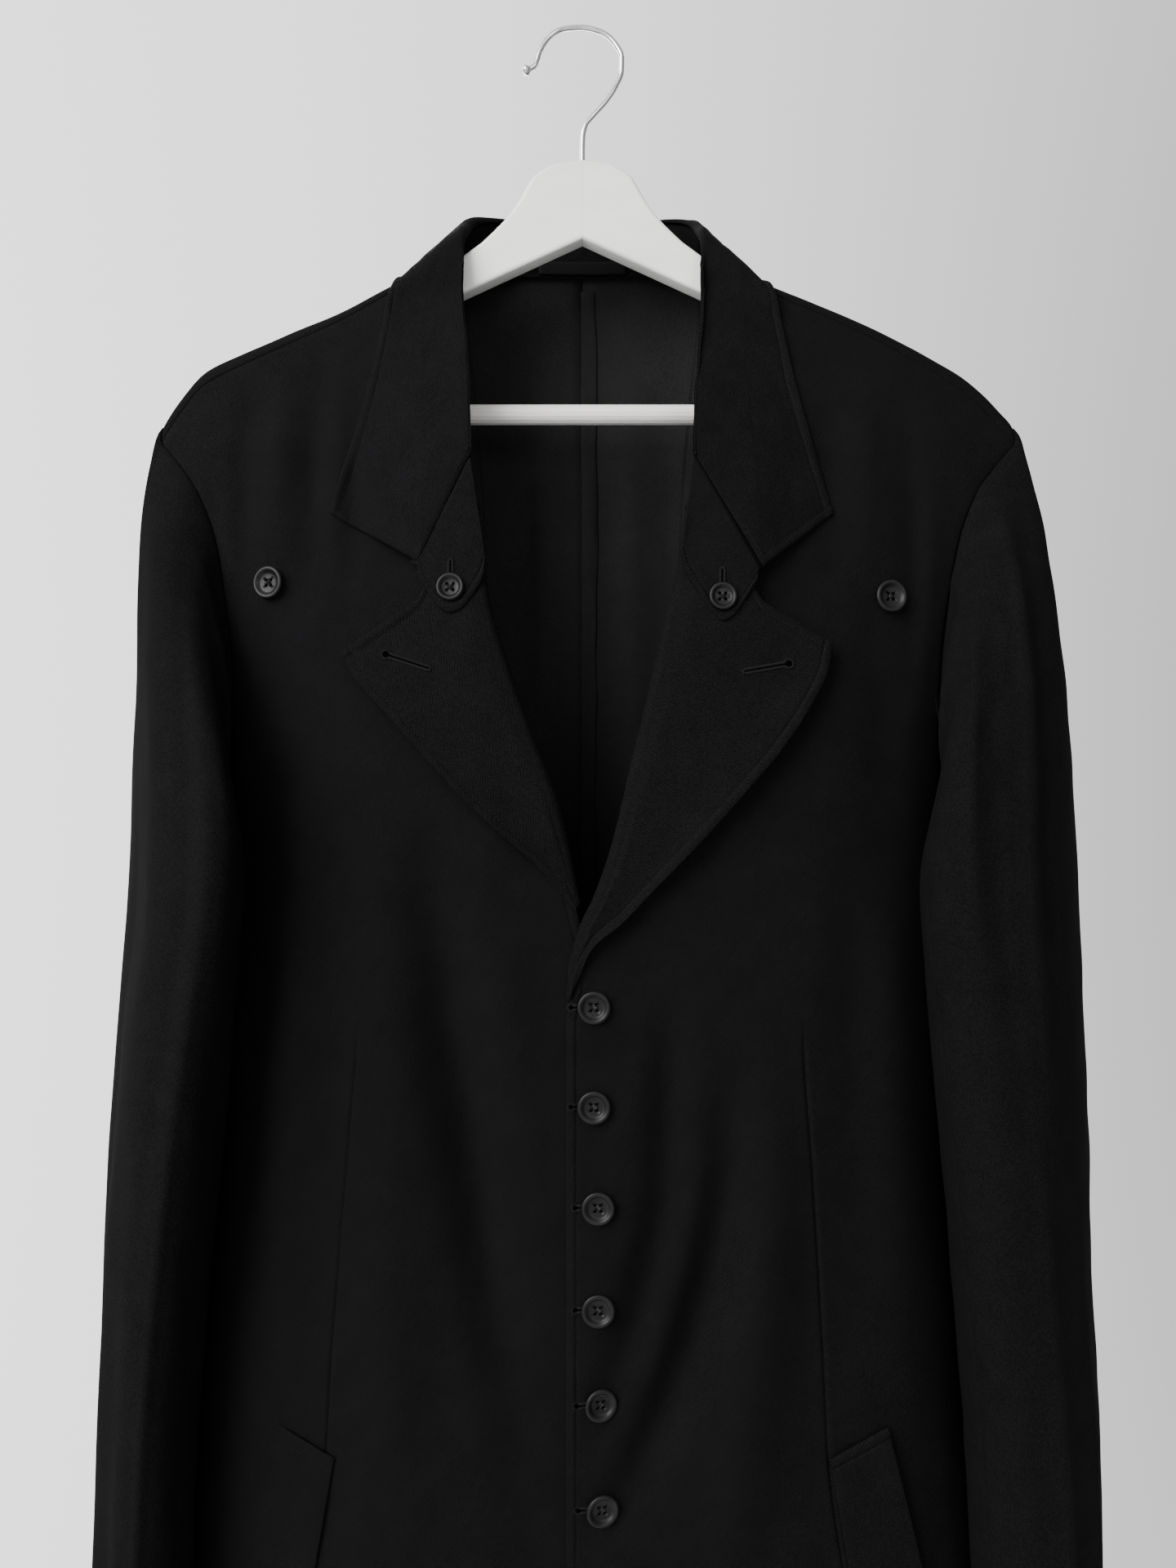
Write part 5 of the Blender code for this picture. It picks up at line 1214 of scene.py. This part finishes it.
def tube_faces(count, rings, sides, caps=False):
    """Faces of equal tubes whose points lie ring after ring."""
    index = np.arange(count * rings * sides).reshape(count, rings, sides)
    turn = np.roll(index, -1, axis=-1)
    faces = join(index[:, :-1], turn[:, :-1], turn[:, 1:], index[:, 1:]).reshape(-1, 4).tolist()
    return faces + index[:, 0, ::-1].tolist() + index[:, -1].tolist() if caps else faces


def reversed_faces(faces):
    """Faces turned to look the other way."""
    return [face[::-1] for face in faces]


def bundle(parts):
    """One mesh's points and faces from those of its parts."""
    verts, faces = [], []
    for points, own in parts:
        faces += [[len(verts) + i for i in face] for face in own]
        verts += list(points)
    return np.array(verts), faces


def stitches(name, lines):
    """One piece that holds several runs of stitching; a line's rows are points and normals."""
    spread, size, rise = np.array(STITCH).T
    verts = []
    for line in lines:
        length = distances(line[:, :3])
        start = STITCH_PITCH * np.arange(int(length[-1] / STITCH_PITCH))[:, None] + 0.5 * STITCH_GAP
        at = start + (STITCH_PITCH - STITCH_GAP) * spread
        place, up = np.split(read_at(at, length, line), 2, axis=-1)
        up = unit(up)
        flank = np.cross(up, unit(place[:, -1:] - place[:, :1]))
        place = place + up * (STITCH_RADIUS * rise - STITCH_SINK)[:, None]
        verts.append(tube(place, flank, up, STITCH_RADIUS * size, THREAD_SIDES).reshape(-1, 3))
    verts = np.concatenate(verts)
    count = len(verts) // (THREAD_SIDES * len(STITCH))
    faces = tube_faces(count, len(STITCH), THREAD_SIDES, caps=True)
    placed(mesh_piece(name, verts, faces, THREAD), "cloth")


def inset_line(outer, normal, border, inset=STITCH_LINE, start=0, stop=None):
    """Points and normals a distance inside one border of a cloth grid."""
    both = np.concatenate([outer, normal], axis=-1)
    if border == "right":
        both = both[:, ::-1]
    if border == "low":
        both = both[::-1]
    if border in ("top", "low"):
        both = both.swapaxes(0, 1)
    line = []
    for row in both[start:stop]:
        length = distances(row[:, :3])
        if length[-1] >= 2.2 * inset:
            line.append(read_at(inset, length, row))
    return np.array(line)


def trimmed(line, head, tail):
    """A run without a length at its head and tail."""
    length = distances(line[:, :3])
    return line[(length >= head) & (length <= length[-1] - tail)]


def satin_loop(spine):
    """Close stitches round a slit's outline: places on the cloth and heights over it."""
    length = distances(spine)
    count = int(length[-1] / SATIN_SPACING)
    at = (np.arange(count) + 0.5) * length[-1] / count
    tangent = unit(read_at(at + 2.0e-4, length, spine) - read_at(at - 2.0e-4, length, spine))
    flank = join(-tangent[:, 1], tangent[:, 0])
    step, size, rise = np.array(SATIN).T[:, :, None]
    angle = 2.0 * math.pi * np.arange(SATIN_SIDES) / SATIN_SIDES
    middle = read_at(at, length, spine)[:, None] + flank[:, None] * SATIN_REACH * step
    wide = (SATIN_RADIUS * size * np.cos(angle))[..., None]
    spots = middle[:, :, None] + tangent[:, None, None] * wide
    rises = np.tile(SATIN_RADIUS * (rise + 0.8 * size * np.sin(angle)), (count, 1))
    return spots.reshape(-1, 2), rises.ravel()


def keyhole(start, eye, eye_radius):
    """Outline of a keyhole slit from its bar end round its eye and back."""
    start, eye = np.array(start), np.array(eye)
    length = np.linalg.norm(eye - start)
    along = (eye - start) / length
    flank = np.array((-along[1], along[0]))
    beside = flank * SLIT_HALF
    neck = start + along * (length - eye_radius * 1.6)
    angle = np.radians(np.linspace(150.0, -150.0, 13))[:, None]
    round_eye = eye + eye_radius * (along * np.cos(angle) + flank * np.sin(angle))
    return np.array([start + beside, neck + beside, *round_eye, neck - beside, start - beside])


def on_grid(grid, ways, spots, rises):
    """Points over a cloth grid at places (x, z) and heights along its normals."""
    flat, slant = grid.reshape(-1, 3), ways.reshape(-1, 3)
    points = []
    for (x, z), rise in zip(spots, rises):
        near = int(np.argmin((flat[:, 0] - x) ** 2 + (flat[:, 2] - z) ** 2))
        place, way = flat[near], slant[near]
        y = place[1] - (way[0] * (x - place[0]) + way[2] * (z - place[2])) / way[1]
        points.append(np.array((x, y, z)) + way * rise)
    return np.array(points)


def build_buttonholes(pieces):
    """Keyhole buttonholes on the lapels, straight ones on the tabs and the front edge."""
    holes = list(BUTTONHOLES)
    for _, x, z, _, _ in BUTTONS[:6]:
        holes.append(("front_right", (x + 0.0060, z + 0.0002), (x - 0.0122, z - 0.0002), 0.0013))
    threads, slit_shades = [], []
    for owner, start, eye, eye_radius in holes:
        side = -1 if owner.endswith("left") else 1
        outline = keyhole(start, eye, eye_radius)
        beyond = 0.9 * (outline[0] - outline[-1])
        for spine in (outline, np.array((outline[-1] - beyond, outline[0] + beyond))):
            spots, rises = satin_loop(spine)
            faces = tube_faces(len(spots) // (SATIN_SIDES * len(SATIN)), len(SATIN), SATIN_SIDES)
            points = on_grid(*pieces[owner], spots * (side, 1.0), rises + 0.00015)
            threads.append((points, faces if side < 0 else reversed_faces(faces)))
        # A near-black sheet over each slit's outline: painted shade for the shadow in the slit
        rim = on_grid(*pieces[owner], outline * (side, 1.0), np.full(len(outline), 0.00016))
        slit_shades.append((rim, [range(len(rim))]))
    placed(mesh_piece("buttonhole_thread", *bundle(threads), THREAD), "cloth")
    placed(mesh_piece("buttonhole_painted_shade", *bundle(slit_shades), SLIT_PAINTED_SHADE), "cloth")


# Buttons

def turned_button(name, radius):
    """A turned button about the origin, with four holes."""
    part, height = np.array(PROFILE[1:-1]).T
    across, along, up = np.eye(3)
    verts = tube(np.outer(BUTTON_THICK * height, up), across, along, radius * part, BUTTON_SIDES)
    faces = reversed_faces(tube_faces(1, len(part), BUTTON_SIDES, caps=True))
    piece = mesh_piece(name + "_turned", verts.reshape(-1, 3), faces, BUTTON, sharp=50.0)
    holes = bpy.data.meshes.new("holes")
    drill = bmesh.new()
    for x in (-HOLE_PLACE, HOLE_PLACE):
        for y in (-HOLE_PLACE, HOLE_PLACE):
            bmesh.ops.create_cone(drill, cap_ends=True, segments=HOLE_SIDES, radius1=HOLE_RADIUS,
                                  radius2=HOLE_RADIUS, depth=0.02, matrix=Matrix.Translation((x, y, 0.0)))
    drill.to_mesh(holes)
    drill.free()
    cutter = linked("holes", holes)
    cut = piece.modifiers.new("holes", "BOOLEAN")
    cut.object = cutter
    cut.solver = "EXACT"
    done = evaluated(piece)
    piece.modifiers.clear()
    piece.data = done
    bpy.data.objects.remove(cutter, do_unlink=True)
    return piece


def button_thread(name, pairs):
    """Two strands of thread between each pair of a button's holes."""
    up = np.array((0.0, 0.0, 1.0))
    t = np.linspace(0.0, 1.0, len(THREAD_RISE))[:, None]
    rings = []
    for pair in pairs:
        first, last = (HOLE_PLACE * np.array((*hole, 0.0)) for hole in pair)
        flank = unit(np.cross(last - first, up))
        for shift in (-THREAD_SHIFT, THREAD_SHIFT):
            bow = flank * shift * np.sin(math.pi * t)
            line = first + (last - first) * t + bow + THREAD_RISE[:, None] * up
            rings.append(tube(line, flank, up, THREAD_RADIUS, THREAD_SIDES))
    faces = tube_faces(len(rings), len(t), THREAD_SIDES)
    return mesh_piece(name + "_thread", np.reshape(rings, (-1, 3)), faces, THREAD)


def build_buttons():
    """Turned buttons with four holes, and the thread that crosses them."""
    for name, x, z, size, height in BUTTONS:
        panel = "front_left" if x < 0.0 else "front_right"
        normal = skin_normal(panel, x, z, 2.0e-3)
        turn = Vector(normal).to_track_quat("Z", "Y").to_matrix().to_4x4()
        turn.translation = Vector(skin(panel, x, z) + normal * height)
        piece = turned_button(name, 0.5 * size)
        thread = button_thread(name, THREAD_UPRIGHT if name.startswith("button_front") else THREAD_CROSSED)
        piece.data.transform(turn)
        thread.data.transform(turn)
        placed(piece, "button", name)
        placed(thread, "cloth")


# Hanger

def hanger_outline():
    """The hanger's right outline, from the top of its head round to the apex below."""
    points = list(zip(*path(HEAD, np.linspace(0.0, len(HEAD) - 1.0, 40))))
    for x in np.linspace(*SHOULDER_REACH, 24):
        points.append((x, min(ridge_z(x), ridge_z(-x)) - SHOULDER_WALL - HANGER_CLEAR))
    return points + [(HANGER_LOW, END_Z + 0.010), (HANGER_LOW - 0.0015, END_Z + 0.004),
                     (HANGER_LOW - 0.006, END_Z), (ARM_FOOT, END_Z),
                     (ARM_FOOT, APEX_Z - UNDER_SLOPE * ARM_FOOT), (0.0, APEX_Z)]


def build_hanger():
    """Flat painted body, and the bar's paint."""
    right = hanger_outline()
    outline = right + [(-x, z) for x, z in reversed(right[1:-1])]
    drawn = bpy.data.curves.new("hanger_body", "CURVE")
    drawn.dimensions = "2D"
    drawn.fill_mode = "BOTH"
    drawn.extrude = 0.5 * HANGER_THICK - HANGER_EDGE
    drawn.bevel_depth = HANGER_EDGE
    drawn.bevel_resolution = 4
    drawn.offset = -HANGER_EDGE
    spline = drawn.splines.new("POLY")
    spline.points.add(len(outline) - 1)
    for point, (x, z) in zip(spline.points, outline):
        point.co = (x, z, 0.0, 1.0)
    spline.use_cyclic_u = True
    shape = linked("hanger_shape", drawn)
    data = evaluated(shape)
    bpy.data.objects.remove(shape, do_unlink=True)
    data.transform(Matrix.Rotation(math.radians(90.0), 4, "X"))
    data.materials.clear()
    data.materials.append(PAINT)
    placed(shown("hanger_body", data, 35.0), "painted_wood", "hanger")
    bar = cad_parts["hanger_bar"]
    bar.data.materials.clear()
    bar.data.materials.append(BAR_PAINT)


def build_hook():
    """The hook's bent wire with its button-shaped tip."""
    x, z = path(HOOK, np.linspace(0.0, len(HOOK) - 1.0, 160))
    route = join(x, 0.0, z)
    length = distances(route)
    size = np.where(length < TIP_LENGTH, np.interp(length, *zip(*TIP)), WIRE_RADIUS)
    across = np.array((0.0, 1.0, 0.0))
    other = np.cross(unit(np.gradient(route, axis=0)), across)
    verts = tube(route, across, other, size, WIRE_SIDES).reshape(-1, 3)
    hook = mesh_piece("hook_wire", verts, tube_faces(1, len(route), WIRE_SIDES, caps=True), CHROME)
    placed(hook, "chrome", "hanger_hook")


# Stage

def area_light(name, place, target, size, power, colour=(1.0, 1.0, 1.0)):
    """A soft square light."""
    data = bpy.data.lights.new(name, "AREA")
    data.shape = "RECTANGLE"
    data.size = data.size_y = size
    data.energy = power
    data.color = colour
    light = linked(name, data)
    light.location = place
    light.rotation_euler = (Vector(target) - Vector(place)).to_track_quat("-Z", "Y").to_euler()


def build_stage():
    """Pale floor, pale surroundings, soft studio light and the camera."""
    turns = np.linspace(0.0, 2.0 * math.pi, 97)[:-1]
    rim = join(FLOOR_RADIUS * np.cos(turns), FLOOR_RADIUS * np.sin(turns), FLOOR_Z)
    mesh_piece("floor", rim, [range(len(rim))], FLOOR)
    world = bpy.data.worlds.new("surroundings")
    bpy.context.scene.world = world
    world.use_nodes = True
    tree = world.node_tree
    across = node(tree, "SeparateXYZ", {0: tree.nodes.new("ShaderNodeTexCoord").outputs["Generated"]})
    across = node(tree, "MapRange", {"Value": across, "From Min": -1.0, "From Max": 1.0})
    shade = ramp(tree, across, [(place, (grey, grey, grey)) for place, grey in WORLD_SHADES])
    feed(tree, tree.nodes["Background"], {"Color": shade, "Strength": 2.2})
    area_light("key", (-1.85, -1.90, 0.85), (0.0, 0.0, -0.5), 2.3, 310.0, (1.0, 0.995, 0.985))
    area_light("fill", (1.1, -2.6, 0.1), (0.0, 0.0, -0.6), 0.9, 26.0)
    area_light("behind", (-0.5, 2.6, 0.9), (0.0, 0.0, -0.6), 1.6, 200.0)
    data = bpy.data.cameras.new("photo_camera")
    data.sensor_fit = "VERTICAL"
    data.sensor_height = 36.0
    data.sensor_width = 27.0
    data.lens = 36.0 * FOCAL_PX / IMAGE_HEIGHT
    data.clip_start = 0.02
    camera = linked("photo_camera", data)
    camera.location = CAMERA_PLACE
    camera.rotation_euler = (math.radians(90.0), 0.0, 0.0)
    bpy.context.scene.camera = camera


def main():
    """Everything, from the stage to the last stitch."""
    build_stage()
    lines, pieces = [], {}
    for side, label in LABELS.items():
        front = build_front(side, label)
        if side > 0:
            lines.append(trimmed(inset_line(*front, "left", 0.0040), 0.425, 0.004))
        build_back(side, label)
        build_sleeve(side, label)
        build_armhole(side, label)
        lapel = build_lapel(side, label)
        lines.append(trimmed(inset_line(*lapel, "right"), STITCH_LINE, 0.0))
        lines.append(trimmed(inset_line(*lapel, "top", start=26), 0.0, STITCH_LINE))
        tab = build_tab(side, label)
        lines.append(inset_line(*tab, "low", 0.0046, start=3, stop=-3))
        welt = build_welt(side, label)
        for inset in (0.0012, 0.0072):
            lines.append(trimmed(inset_line(*welt, "top", inset), 0.002, 0.002))
        pieces.update({"front_" + label: front, "lapel_" + label: lapel, "tab_" + label: tab})
    fall = build_collar()
    lines.append(trimmed(inset_line(*fall, "right"), STITCH_LINE, STITCH_LINE))
    for border in ("top", "low"):
        lines.append(trimmed(inset_line(*fall, border, start=24), 0.0, STITCH_LINE))
    build_inside()
    stitches("topstitching", lines)
    build_buttonholes(pieces)
    build_buttons()
    build_hanger()
    build_hook()


main()
